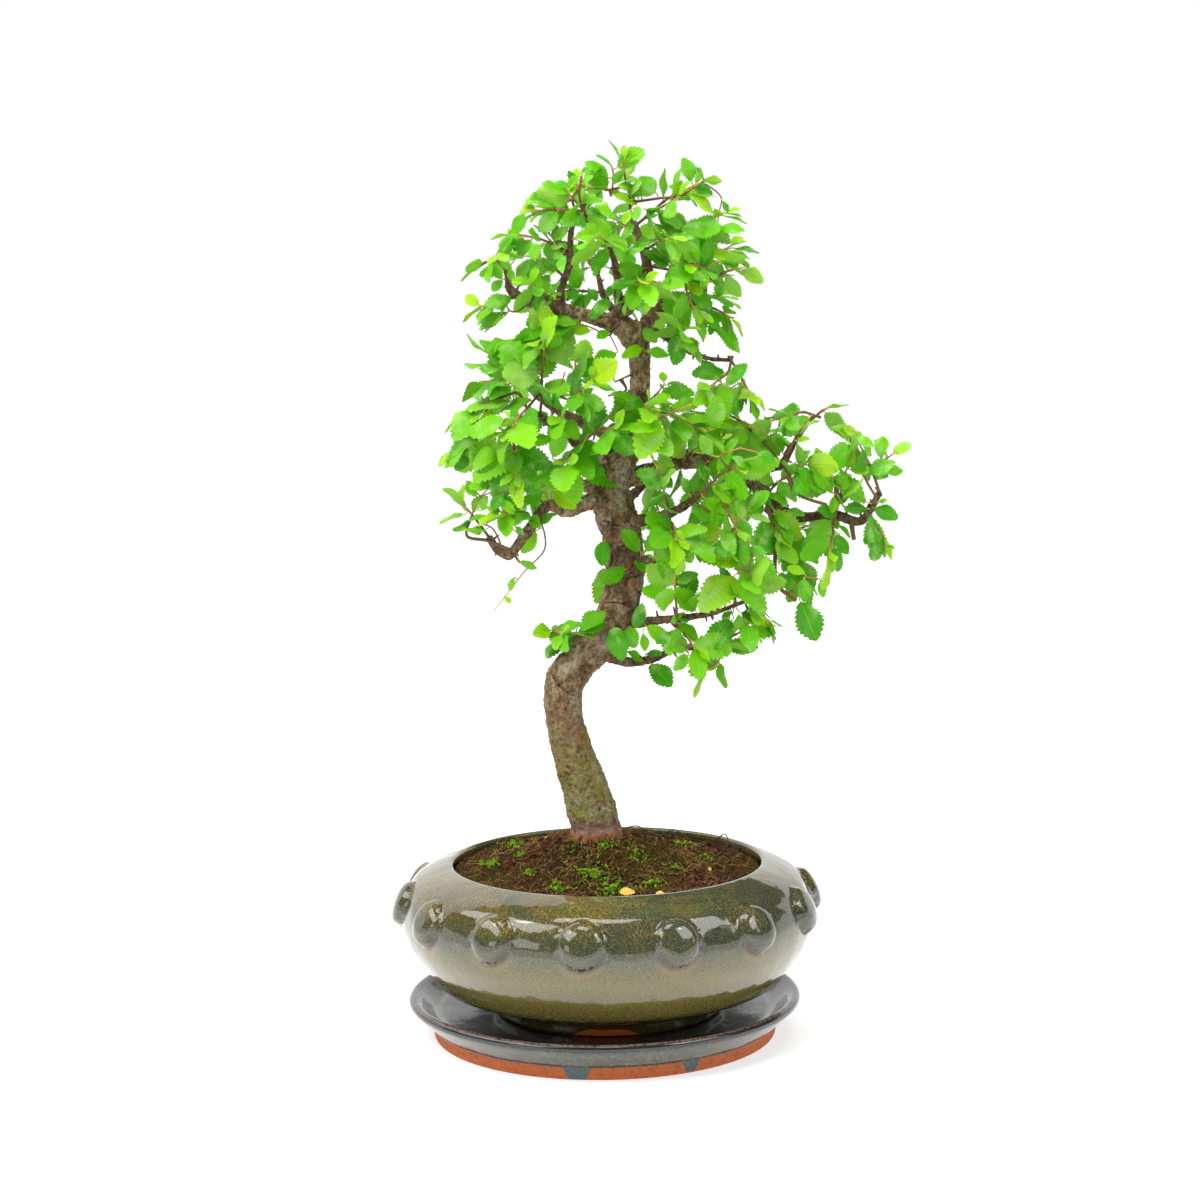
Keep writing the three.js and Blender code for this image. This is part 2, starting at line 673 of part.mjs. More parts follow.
// One shoot as a single closed body: a three-sided twig whose corner opens into a stalk
// at each leaf, and whose end opens into the last leaf
function shootBody(curve, leaves) {
  const points = [];
  const faces = [];
  const add = (p) => points.push(p.toArray()) - 1;
  const shares = [0, ...leaves.map((leaf) => leaf.share)];
  const frames = framesAlong({
    getPoint: (share) => curve.getPointAt(share),
    getTangent: (share) => curve.getTangentAt(share),
  }, shares);
  const corner = (frame, radius, angle) => {
    const p = frame.centre.clone()
      .addScaledVector(frame.across, radius * Math.cos(angle))
      .addScaledVector(frame.over, radius * Math.sin(angle));
    return { id: add(p), angle };
  };
  const attach = (leaf, base, stalk) => {
    const { points: own, faces: ownFaces } = leafShape(leaf.length);
    const place = placeOf(base, leaf.forward, leaf.normal);
    const ids = own.map((p, i) => (i < 4 ? stalk[i] : add(vector(p).applyMatrix4(place))));
    for (const face of ownFaces) faces.push(face.map((i) => ids[i]));
  };
  const third = (2 * Math.PI) / 3;
  const root = frames[0];
  let open = [0, 1, 2].map((k) => corner(root, twigRadius, k * third));
  faces.push([open[2].id, open[1].id, open[0].id]);
  leaves.forEach((leaf, index) => {
    const frame = frames[index + 1];
    const radius = twigRadiusAt(leaf.share);
    const side = new THREE.Vector3().crossVectors(leaf.normal, leaf.forward);
    const { base } = leaf;
    const point = (arm, reach) => {
      const p = base.clone().addScaledVector(arm, reach);
      return { id: add(p), angle: angleIn(frame, p, frame.centre) };
    };
    const left = point(side, stalkHalfWidth);
    const right = point(side, -stalkHalfWidth);
    const over = point(leaf.normal, stalkHalfHeight);
    const beneath = point(leaf.normal, -stalkHalfHeight);
    if (leaf.share === 1) {
      bridge(open, [left, over, right, beneath], faces);
    } else {
      const heading = angleIn(frame, base, frame.centre);
      const ahead = side.dot(frame.along) > 0 ? left : right;
      const behind = ahead === left ? right : left;
      ahead.angle = heading;
      behind.angle = heading;
      const [nextRound, lastRound] = ahead === right ? [over, beneath] : [beneath, over];
      const far = corner(frame, radius, heading + Math.PI);
      bridge(open, [behind, nextRound, far, lastRound], faces);
      open = [ahead, nextRound, far, lastRound];
    }
    attach(leaf, base, [right.id, left.id, over.id, beneath.id]);
  });
  if (leaves[leaves.length - 1].share < 1) {
    const bud = add(curve.getPointAt(1));
    open.forEach((p, k) => faces.push([p.id, open[(k + 1) % open.length].id, bud]));
  }
  return solid(closedGeometry(points, faces));
}

// Plan every twig first, then the leaves
const plans = sprays.map((spray, index) => ({
  ...spray,
  name: `spray_${String(index + 1).padStart(2, '0')}`,
  random: randomFrom(twigSeed + twigSeedStep * index),
  twigs: [],
}));

for (const plan of plans) {
  const path = plan.limb === 'trunk' ? trunkPath : limbs[plan.limb].path;
  let start = smooth(path).getPointAt(plan.at);
  for (const [x, y, z, count, leafLength] of plan.shoots) {
    const twig = clearTwig(start, new THREE.Vector3(x, y, z), plan.name);
    const curve = smooth(twig);
    plan.twigs.push({ curve, count, leafLength });
    stand(stem(twig, [twigRadius, twigTipRadius], 4, clearance), plan.name);
    start = curve.getPointAt(forkShare);
  }
}

for (const plan of plans) {
  for (const twig of plan.twigs) {
    const leaves = [];
    for (let i = 0; i < twig.count; i++) {
      const share = i === twig.count - 1 ? 1 : THREE.MathUtils.lerp(firstLeaf, 1, i / (twig.count - 1));
      const size = twig.leafLength * between(leafSizes, plan.random);
      const leaf = leafFor(twig.curve, share, i % 2 ? 1 : -1, size, plan.random, plan.name);
      if (leaf) leaves.push(leaf);
    }
    twig.body = shootBody(twig.curve, leaves);
  }
}

function sprayBody(plan) {
  const whole = joined(plan.twigs.map((twig) => twig.body)).subtract(trunkRoom);
  return whole.decompose().sort((a, b) => b.volume() - a.volume())[0];
}

// Materials: colour and roughness
const looks = {
  saucer: [0x2b3336, 0.2],
  pot: [0x7d8468, 0.18],
  soil: [0x33241a, 0.95],
  bark: [0x6d5a4b, 0.85],
  leaf: [0x5fae26, 0.5],
};

function part(name, body, look) {
  const [color, roughness] = looks[look];
  const material = new THREE.MeshStandardMaterial({ color, roughness, metalness: 0 });
  const mesh = new THREE.Mesh(geometryOf(body), material);
  mesh.name = name;
  return mesh;
}

const tree = new THREE.Group();
tree.add(part('saucer', saucerBody, 'saucer'));
tree.add(part('pot', potBody, 'pot'));
tree.add(part('soil', soilBody, 'soil'));
tree.add(part('trunk', trunkBody, 'bark'));
for (const plan of plans) {
  tree.add(part(plan.name, sprayBody(plan), 'leaf'));
}

export default tree;
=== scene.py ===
"""The looks of a small-leaved bonsai in a round glazed pot on its saucer."""
import heapq
import json
import math
import random

import bpy
import numpy as np
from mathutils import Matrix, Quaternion, Vector, bvhtree, kdtree, noise

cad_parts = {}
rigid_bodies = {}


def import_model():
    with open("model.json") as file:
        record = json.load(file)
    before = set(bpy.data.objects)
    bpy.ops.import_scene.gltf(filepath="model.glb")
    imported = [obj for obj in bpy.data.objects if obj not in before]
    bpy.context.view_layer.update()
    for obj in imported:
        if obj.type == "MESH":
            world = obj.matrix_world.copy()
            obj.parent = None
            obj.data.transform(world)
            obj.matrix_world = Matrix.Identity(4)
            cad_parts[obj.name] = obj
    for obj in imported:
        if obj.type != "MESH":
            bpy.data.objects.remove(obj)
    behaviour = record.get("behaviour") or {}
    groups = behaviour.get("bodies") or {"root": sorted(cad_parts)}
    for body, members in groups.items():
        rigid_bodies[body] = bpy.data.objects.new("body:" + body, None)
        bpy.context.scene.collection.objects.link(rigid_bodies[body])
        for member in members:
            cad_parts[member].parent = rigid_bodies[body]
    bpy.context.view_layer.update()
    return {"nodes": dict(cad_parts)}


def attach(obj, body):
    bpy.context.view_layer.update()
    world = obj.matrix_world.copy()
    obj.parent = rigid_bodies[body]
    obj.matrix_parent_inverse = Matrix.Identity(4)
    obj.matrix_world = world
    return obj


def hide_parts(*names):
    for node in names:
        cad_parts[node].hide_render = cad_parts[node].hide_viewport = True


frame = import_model()

# Modelling works in millimetres, and a mesh is written out in metres
MM = 0.001
UP = np.array([0.0, 0.0, 1.0])


# Camera, and where a pixel of the 1200 by 1200 photograph lies

camera_place = (0.0004, -1.334, 0.388)
camera_pitch = math.radians(7.49)
camera_roll = math.radians(-0.78)
camera_lens = 84.0
sensor = 36.0
photo_middle = 600
photo_focus = 2 * photo_middle * camera_lens / sensor


def on_photo(points):
    """Pixels of points given in millimetres."""
    p = np.asarray(points, float) - np.array(camera_place) / MM
    c, s = math.cos(camera_pitch), math.sin(camera_pitch)
    far = p[..., 1] * c - p[..., 2] * s
    x = photo_focus * p[..., 0] / far
    y = -photo_focus * (p[..., 1] * s + p[..., 2] * c) / far
    c, s = math.cos(camera_roll), math.sin(camera_roll)
    return np.stack([photo_middle + x * c - y * s, photo_middle + x * s + y * c], -1)


def from_photo(pixel, depth):
    """The point in millimetres, at a given y, that shows at a pixel."""
    a, b = pixel[0] - photo_middle, pixel[1] - photo_middle
    c, s = math.cos(-camera_roll), math.sin(-camera_roll)
    across, down = a * c - b * s, a * s + b * c
    ahead = depth - camera_place[1] / MM
    c, s = math.cos(camera_pitch), math.sin(camera_pitch)
    rise = ahead * (photo_focus * s + down * c) / (down * s - photo_focus * c)
    far = ahead * c - rise * s
    x, z = across * far / photo_focus + camera_place[0] / MM, rise + camera_place[2] / MM
    return np.array([x, depth, z])


# The crown's edge in the photograph, by pixels
crown_edge = [
    (609, 158), (627, 143), (642, 149), (639, 168), (656, 181), (677, 163), (693, 157), (703, 170),
    (718, 184), (729, 207), (743, 221), (741, 231), (761, 247), (741, 255), (744, 270), (726, 279),
    (731, 304), (731, 327), (743, 348), (722, 345), (713, 352), (731, 360), (750, 374), (754, 398),
    (771, 405), (780, 414), (815, 416), (806, 431), (829, 426), (848, 435), (872, 440), (893, 461),
    (874, 476), (895, 501), (897, 520), (886, 552), (867, 567), (844, 541), (827, 581), (827, 595),
    (806, 595), (818, 638), (797, 614), (778, 600), (775, 623), (762, 650), (721, 652), (707, 671),
    (693, 675), (670, 686), (646, 661), (632, 655), (594, 628), (545, 655), (566, 624), (590, 604),
    (599, 553), (571, 544), (543, 567), (493, 610), (500, 572), (479, 555), (467, 530), (439, 515),
    (456, 487), (444, 464), (444, 450), (463, 417), (481, 384), (486, 360), (505, 337), (529, 337),
    (520, 322), (470, 323), (486, 304), (472, 294), (482, 266), (500, 257), (512, 238), (519, 214),
    (533, 196), (557, 181), (585, 160), (599, 153),
]


def outside_crown(point):
    """How many pixels outside the crown's edge a point shows, or 0 inside it."""
    x, y = on_photo(point)
    a = np.array(crown_edge, float)
    b = np.roll(a, -1, axis=0)
    crosses = ((a[:, 1] > y) != (b[:, 1] > y))
    rise = np.where(a[:, 1] == b[:, 1], 1.0, b[:, 1] - a[:, 1])
    inside = np.count_nonzero(crosses & (x < a[:, 0] + (y - a[:, 1]) / rise * (b[:, 0] - a[:, 0]))) % 2
    if inside:
        return 0.0
    way = b - a
    share = np.clip(((np.array([x, y]) - a) * way).sum(1) / (way ** 2).sum(1), 0, 1)
    return float(np.min(np.linalg.norm(a + share[:, None] * way - [x, y], axis=1)))


# Numbers and vectors

def unit(v):
    v = np.asarray(v, float)
    return v / max(np.linalg.norm(v), 1e-9)


def lerp(a, b, t):
    return a + (b - a) * t


def smoothstep(low, high, x):
    t = np.clip((np.asarray(x, float) - low) / (high - low), 0, 1)
    return t * t * (3 - 2 * t)


def spun(v, axis, angle):
    """v turned about a unit axis by an angle in radians."""
    c, s = math.cos(angle), math.sin(angle)
    return v * c + np.cross(axis, v) * s + axis * np.dot(axis, v) * (1 - c)


def smooth_path(points, spacing):
    """Points about spacing apart on a smooth curve through the given ones, and their places from 0 to 1."""
    p = np.asarray(points, float)
    if len(p) == 2:
        p = np.array([p[0], (p[0] + p[1]) / 2, p[1]])
    ends = np.vstack([2 * p[0] - p[1], p, 2 * p[-1] - p[-2]])
    out, places = [], []
    for i in range(len(p) - 1):
        a, b, c, d = ends[i:i + 4]
        gaps = [max(np.linalg.norm(q - r), 1e-6) ** 0.5 for q, r in ((b, a), (c, b), (d, c))]
        knots = np.cumsum([0.0] + gaps)
        steps = max(2, int(round(np.linalg.norm(c - b) / spacing)))
        for k in range(steps):
            t = lerp(knots[1], knots[2], k / steps)
            ab = lerp(a, b, (t - knots[0]) / (knots[1] - knots[0]))
            bc = lerp(b, c, (t - knots[1]) / (knots[2] - knots[1]))
            cd = lerp(c, d, (t - knots[2]) / (knots[3] - knots[2]))
            abc = lerp(ab, bc, (t - knots[0]) / (knots[2] - knots[0]))
            bcd = lerp(bc, cd, (t - knots[1]) / (knots[3] - knots[1]))
            out.append(lerp(abc, bcd, (t - knots[1]) / (knots[2] - knots[1])))
            places.append((i + k / steps) / (len(p) - 1))
    out.append(p[-1])
    places.append(1.0)
    return np.array(out), np.array(places)


def polar(radius, angle, centre=(0.0, 0.0)):
    """x and y at a distance and an angle from a centre."""
    return centre[0] + radius * math.cos(angle), centre[1] + radius * math.sin(angle)


def any_angle(rng):
    return rng.uniform(0, 2 * math.pi)


# Meshes

class Shell:
    """Points, faces, materials and a vector for each point, gathered before they become one mesh."""

    def __init__(self):
        self.points, self.faces, self.kinds, self.marks = [], [], [], []
        self.count = 0

    def add(self, points, faces, kind=0, marks=None):
        points = np.asarray(points, float)
        self.points.append(points)
        self.faces += [[self.count + i for i in face] for face in faces]
        kinds = kind if hasattr(kind, "__len__") else [kind] * len(faces)
        self.kinds += list(kinds)
        if marks is None:
            marks = np.zeros((len(points), 3))
        self.marks.append(np.broadcast_to(np.asarray(marks, float), (len(points), 3)))
        self.count += len(points)

    def mesh(self, name):
        mesh = bpy.data.meshes.new(name)
        points = np.vstack(self.points) * MM
        mesh.from_pydata(points.tolist(), [], self.faces)
        mesh.polygons.foreach_set("material_index", self.kinds)
        add_vectors(mesh, "marks", np.vstack(self.marks))
        mesh.update()
        return mesh


def add_vectors(mesh, name, values):
    """Store a vector for each point of a mesh."""
    attribute = mesh.attributes.new(name, "FLOAT_VECTOR", "POINT")
    attribute.data.foreach_set("vector", np.asarray(values, np.float32).ravel())


def shown(name, data):
    """A new object in the scene."""
    made = bpy.data.objects.new(name, data)
    bpy.context.scene.collection.objects.link(made)
    return made


def piece(name, mesh, materials, replaced=(), sharp=None):
    """A finished piece of the object: shown, painted and riding with it."""
    made = shown(name, mesh)
    for material in materials:
        mesh.materials.append(material)
    mesh.shade_smooth()
    if sharp:
        mesh.set_sharp_from_angle(angle=math.radians(sharp))
    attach(made, "root")
    if replaced:
        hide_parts(*replaced)


def wall_faces(rings, sides, first=0):
    """Quads between rings of points, which follow one another from the first point on."""
    faces = []
    for i in range(rings - 1):
        for j in range(sides):
            a, b = first + i * sides + j, first + i * sides + (j + 1) % sides
            faces.append([a, b, b + sides, a + sides])
    return faces


def tube(path, radii, sides):
    """A closed round stem along a path, as points and faces."""
    path = np.asarray(path, float)
    radii = np.broadcast_to(np.asarray(radii, float), (len(path),))
    along = np.gradient(path, axis=0)
    along /= np.maximum(np.linalg.norm(along, axis=1, keepdims=True), 1e-9)
    across = unit(np.cross(along[0], [0.31, 0.17, 0.93]))
    angles = 2 * math.pi * np.arange(sides) / sides
    rings = []
    for centre, way, radius in zip(path, along, radii):
        across = unit(across - way * np.dot(across, way))
        over = np.cross(way, across)
        rings.append(centre + radius * (np.outer(np.cos(angles), across) + np.outer(np.sin(angles), over)))
    points = np.vstack(rings + [path[:1], path[-1:]])
    first, last = len(points) - 2, len(points) - 1
    faces = wall_faces(len(path), sides)
    end = (len(path) - 1) * sides
    for j in range(sides):
        faces.append([first, (j + 1) % sides, j])
        faces.append([last, end + j, end + (j + 1) % sides])
    return points, faces


def lathe(profile, sides, centre=(0.0, 0.0)):
    """A closed turned form. The profile's first and last points lie on the axis."""
    rings = np.asarray(profile, float)[1:-1]
    angles = 2 * math.pi * np.arange(sides) / sides
    points = [[*centre, profile[0][1]]]
    for r, z in rings:
        points += [[*polar(r, a, centre), z] for a in angles]
    points.append([*centre, profile[-1][1]])
    last = len(points) - 1
    faces = [[0, 1 + (j + 1) % sides, 1 + j] for j in range(sides)] + wall_faces(len(rings), sides, 1)
    end = 1 + (len(rings) - 1) * sides
    faces += [[last, end + j, end + (j + 1) % sides] for j in range(sides)]
    return np.array(points), faces


def rounded(profile, step):
    """An outline's points with more between them on a smooth curve, about step apart."""
    return smooth_path([[r, 0, z] for r, z in profile], step)[0][:, [0, 2]]


# Materials

def linear(colour):
    """A screen colour from 0 to 255 as the linear colour that nodes take."""
    shares = [c / 255 for c in colour]
    return [c / 12.92 if c <= 0.04045 else ((c + 0.055) / 1.055) ** 2.4 for c in shares]


class Value:
    """A node's output in a paint. Arithmetic with it makes new nodes."""

    def __init__(self, paint, socket):
        self.paint, self.socket = paint, socket

    def __add__(self, other):
        return self.paint.math("ADD", self, other)

    def __sub__(self, other):
        return self.paint.math("SUBTRACT", self, other)

    def __rsub__(self, other):
        return self.paint.math("SUBTRACT", other, self)

    def __mul__(self, other):
        return self.paint.math("MULTIPLY", self, other)

    def __abs__(self):
        return self.paint.math("ABSOLUTE", self)

    def or_more(self, other):
        return self.paint.math("MAXIMUM", self, other)


class Paint:
    """A node material built from short calls, which take numbers, vectors, screen colours and values."""

    def __init__(self, name):
        self.material = bpy.data.materials.new(name)
        self.material.use_nodes = True
        self.nodes = self.material.node_tree.nodes
        self.links = self.material.node_tree.links
        self.nodes.clear()
        self.output = self.nodes.new("ShaderNodeOutputMaterial")
        self.shader = self.nodes.new("ShaderNodeBsdfPrincipled")
        self.links.new(self.shader.outputs[0], self.output.inputs[0])
        self.where = Value(self, self.nodes.new("ShaderNodeTexCoord").outputs["Object"])
        self.base = None

    def put(self, socket, value):
        if isinstance(value, Value):
            self.links.new(value.socket, socket)
        elif socket.type == "RGBA":
            socket.default_value = (*linear(value), 1.0)
        else:
            socket.default_value = value

    def node(self, kind, inputs, output=0, **settings):
        """The output of a new node. The inputs go by name or number."""
        node = self.nodes.new("ShaderNode" + kind)
        for name, setting in settings.items():
            setattr(node, name, setting)
        for key, value in inputs.items():
            self.put(node.inputs[key], value)
        return Value(self, node.outputs[output])

    def math(self, operation, *values):
        return self.node("Math", dict(enumerate(values)), operation=operation)

    def scaled(self, vector, factors):
        return self.node("VectorMath", {0: vector, 1: factors}, operation="MULTIPLY")

    def parts(self, vector):
        """The three numbers of a vector."""
        node = self.nodes.new("ShaderNodeSeparateXYZ")
        self.put(node.inputs[0], vector)
        return [Value(self, output) for output in node.outputs]

    def attribute(self, name):
        return self.node("Attribute", {}, "Vector", attribute_name=name)

    def marks(self):
        """The three numbers that a mesh's points carry for its paint."""
        return self.parts(self.attribute("marks"))

    def noise(self, scale, detail=3.0, roughness=0.55, distortion=0.0, at=None, stretch=None):
        """Cloudy noise from 0 to 1. The scale is in features to a metre."""
        at = at or self.where
        if stretch:
            at = self.scaled(at, stretch)
        return self.node("TexNoise", {"Vector": at, "Scale": scale, "Detail": detail, "Roughness": roughness,
                                      "Distortion": distortion})

    def cells(self, scale, at=None):
        """Distance to the nearest of scattered points. The scale is in points to a metre."""
        return self.node("TexVoronoi", {"Vector": at or self.where, "Scale": scale}, "Distance")

    def ramp(self, value, *stops):
        """A colour that changes with a value. Each stop is a place from 0 to 1 and a screen colour."""
        node = self.nodes.new("ShaderNodeValToRGB")
        elements = node.color_ramp.elements
        while len(elements) < len(stops):
            elements.new(0.5)
        for element, (place, *colour) in zip(elements, stops):
            element.position = place
            element.color = (*linear(colour), 1.0)
        self.put(node.inputs[0], value)
        return Value(self, node.outputs[0])

    def span(self, value, low, high, to_low=0.0, to_high=1.0):
        """A value from low to high taken smoothly to a new span."""
        return self.node("MapRange", dict(enumerate((value, low, high, to_low, to_high))),
                         interpolation_type="SMOOTHSTEP")

    def mix(self, share, a, b):
        return self.node("Mix", {0: share, 6: a, 7: b}, 2, data_type="RGBA")

    def coat(self, share, colour):
        """Lay a colour over the base colour."""
        self.base = self.mix(share, self.base, colour)

    def bump(self, height, distance, strength):
        return self.node("Bump", {"Strength": strength, "Distance": distance, "Height": height})

    def finish(self, **values):
        """Give the shader its base colour, if the paint has one, and other values."""
        if self.base:
            values["Base_Color"] = self.base
        for name, value in values.items():
            self.put(self.shader.inputs[name.replace("_", " ")], value)
        return self.material


leaf_through_light = 0.38


def leaf_paint(name, shades, painted_sheen, vein, gloss, glow):
    """A leaf's face, with a painted sheen in pale patches. Marks hold the row along the veins, the place
    across, and the age, which picks the shade of green."""
    p = Paint(name)
    row, aside, age = p.marks()
    p.base = p.ramp(age, *[(i / (len(shades) - 1), *shade) for i, shade in enumerate(shades)])
    cloud = p.noise(190, 4, 0.6)
    # Painted sheen: pale whitish-green patches in clouds over the leaf colour, standing in for glossy
    # highlights
    p.coat(p.span(cloud, 0.4, 0.66, 0.0, 0.9) * p.span(p.noise(42, 2), 0.44, 0.6, 0.1, 1.0), painted_sheen)
    wide = abs(aside)
    side = abs(p.math("FRACT", row) - 0.5)
    side_vein = p.span(side, 0.38, 0.49) * p.span(wide, 1.0, 0.7)
    veins = (side_vein * 0.55).or_more(p.span(wide, 0.08, 0.02))
    p.coat(veins * 0.45, vein)
    p.coat(p.span(side, 0.3, 0.05) * p.noise(700, 3, 0.7) * 0.5, shades[2])
    height = p.noise(620, 3, 0.6) * 0.7 + p.noise(2600, 2) * 0.2 - veins * 0.9
    p.finish(Roughness=p.span(cloud, 0.3, 0.7, gloss, gloss + 0.16), Normal=p.bump(height, 0.0005, 0.6),
             Specular_IOR_Level=0.4, IOR=1.5)
    behind = p.node("BsdfTranslucent", {"Color": p.mix(0.5, p.base, glow)})
    face = Value(p, p.shader.outputs[0])
    p.put(p.output.inputs[0], p.node("MixShader", {0: leaf_through_light, 1: face, 2: behind}))
    return p.material


def twig_paint():
    """Young bark: dark brown at a twig's root, orange-brown further on and yellow-green at its tip. Marks say
    where."""
    p = Paint("young_bark")
    young = p.marks()[2]
    old = p.mix(p.noise(700, 3), (82, 56, 42), (134, 98, 72))
    colour = p.ramp(young, (0.3, 108, 70, 46), (0.6, 158, 102, 56), (0.82, 190, 142, 66),
                    (0.94, 178, 176, 66), (1.0, 160, 200, 64))
    p.base = p.mix(p.span(young, 0.1, 0.5), old, colour)
    p.coat(p.span(p.cells(900), 0.22, 0.1) * 0.4, (176, 150, 122))
    return p.finish(Roughness=0.7, Normal=p.bump(p.noise(1500, 3), 0.0002, 0.5))


# Heights in metres from which, and to which, each look of the old bark comes in
crown_bark = (0.25, 0.3)
brown_below, brown_above = (0.168, 0.150), (0.122, 0.136)
algae_below, algae_above = (0.162, 0.118), (0.094, 0.104)
collar_below = (0.1065, 0.1015)
frayed_below = (0.0985, 0.0945)


def bark_paint():
    """Old bark. From the ground up: a purple-brown collar, green algae, pale bark with rusty pores, and rough
    dark bark in the crown and on the limbs. Marks hold how thin the stem is, the scars, and the crevices of
    the relief, which are darkened as painted shade."""
    p = Paint("bark")
    height = p.parts(p.where)[2]
    thin, scar, crevice_shade = p.marks()
    drift = (p.noise(70, 3) - 0.5) * 0.03
    level = height + drift
    plates = p.noise(210, 5, 0.65, 0.5, stretch=(1.0, 1.0, 0.6))
    p.base = p.ramp(plates, (0.3, 62, 42, 28), (0.42, 104, 80, 54), (0.52, 134, 114, 86),
                    (0.62, 154, 138, 112), (0.74, 182, 168, 146))
    dim = p.span(level, *crown_bark).or_more(thin * 0.9)
    p.coat(dim * 0.85, p.ramp(plates, (0.3, 60, 42, 28), (0.44, 120, 96, 68), (0.56, 168, 144, 110),
                              (0.72, 200, 182, 152)))
    p.coat(p.span(thin, 0.55, 0.95, 0.0, 0.55), (72, 52, 38))
    middle = p.span(level, *brown_below) * p.span(level, *brown_above)
    p.coat(middle * 0.65, p.mix(p.noise(320, 4, 0.7), (86, 62, 40), (156, 124, 86)))
    rust = p.span(p.noise(150, 3, 0.6), 0.56, 0.68, 0.0, 0.55)
    p.coat(rust, (158, 98, 52))
    pores = p.span(p.cells(360, p.scaled(p.where, (1.0, 1.0, 2.1))), 0.24, 0.12)
    p.coat(pores * 0.85, (98, 50, 30))
    slate = p.span(p.noise(64, 3, 0.6), 0.5, 0.62) * p.span(thin, 0.4, 0.0)
    p.coat(slate * 0.5, (170, 160, 146))
    dark = p.span(p.noise(560, 4, 0.65, 0.5, stretch=(1.0, 1.0, 1.9)), 0.42, 0.33)
    p.coat(dark * p.span(dim, 0.0, 1.0, 0.35, 0.6), (62, 44, 33))
    low = p.span(level, *algae_below) * p.span(height, *algae_above)
    algae = p.span(p.noise(380, 4, 0.7), 0.36, 0.56) * low
    p.coat(algae * 0.85, p.mix(p.noise(700, 3, 0.7), (74, 80, 26), (158, 156, 80)))
    specks = p.span(p.cells(620), 0.24, 0.14) * low
    p.coat(specks * 0.7, (54, 42, 22))
    flakes = p.span(p.cells(480), 0.16, 0.1) * p.span(low, 0.3, 0.8)
    p.coat(flakes * 0.8, (178, 176, 134))
    skin = p.ramp(p.noise(300, 5, 0.7), (0.3, 92, 58, 46), (0.5, 142, 108, 92), (0.7, 176, 146, 124))
    p.coat(p.span(height + drift * 0.25, *collar_below) * 0.9, skin)
    frayed = p.span(height, *frayed_below) * p.span(p.noise(420, 4, 0.7), 0.4, 0.55)
    p.coat(frayed, (148, 84, 50))
    p.coat(p.span(scar, 0.25, 0.7, 0.0, 0.85), (50, 28, 20))
    p.coat(p.span(scar, -0.15, -0.55, 0.0, 0.7), (168, 116, 82))
    # Painted shade: the bark darkened in the crevices, where the relief sinks deepest
    p.coat(crevice_shade * 0.5, (40, 28, 21))
    rough = p.noise(900, 5, 0.7)
    relief = plates * 0.6 + rough * 0.45 - dark * 0.5 + pores * 0.2
    return p.finish(Roughness=p.span(rough, 0.3, 0.7, 0.95, 0.72), Normal=p.bump(relief, 0.0013, 0.8),
                    Specular_IOR_Level=0.25)


# Wood: the trunk's axis with its radius, and the limbs, as in the solids

trunk_axis = [
    (-3, 17, 62, 10), (-3, 16, 84, 13.2), (-3, 16, 93, 13.4), (-4, 15, 103, 12.2), (-8, 14, 117, 11.4),
    (-14, 11, 137, 10), (-18, 7, 157, 9), (-17.5, 4.5, 171, 9.7), (-11, 3, 182, 9.6), (-1, 2, 193, 10.2),
    (7.5, 2, 204, 9.9), (12, 2, 219, 9.1), (13, 4, 237, 8.8), (9, 5, 252, 10.2), (6, 5, 266, 8.8),
    (11, 6, 279, 8), (17, 6, 293, 6.2), (20, 6, 308, 4.5), (21, 5, 325, 4.8), (19, 4, 338, 6),
    (17, 3, 344, 4.6),
]

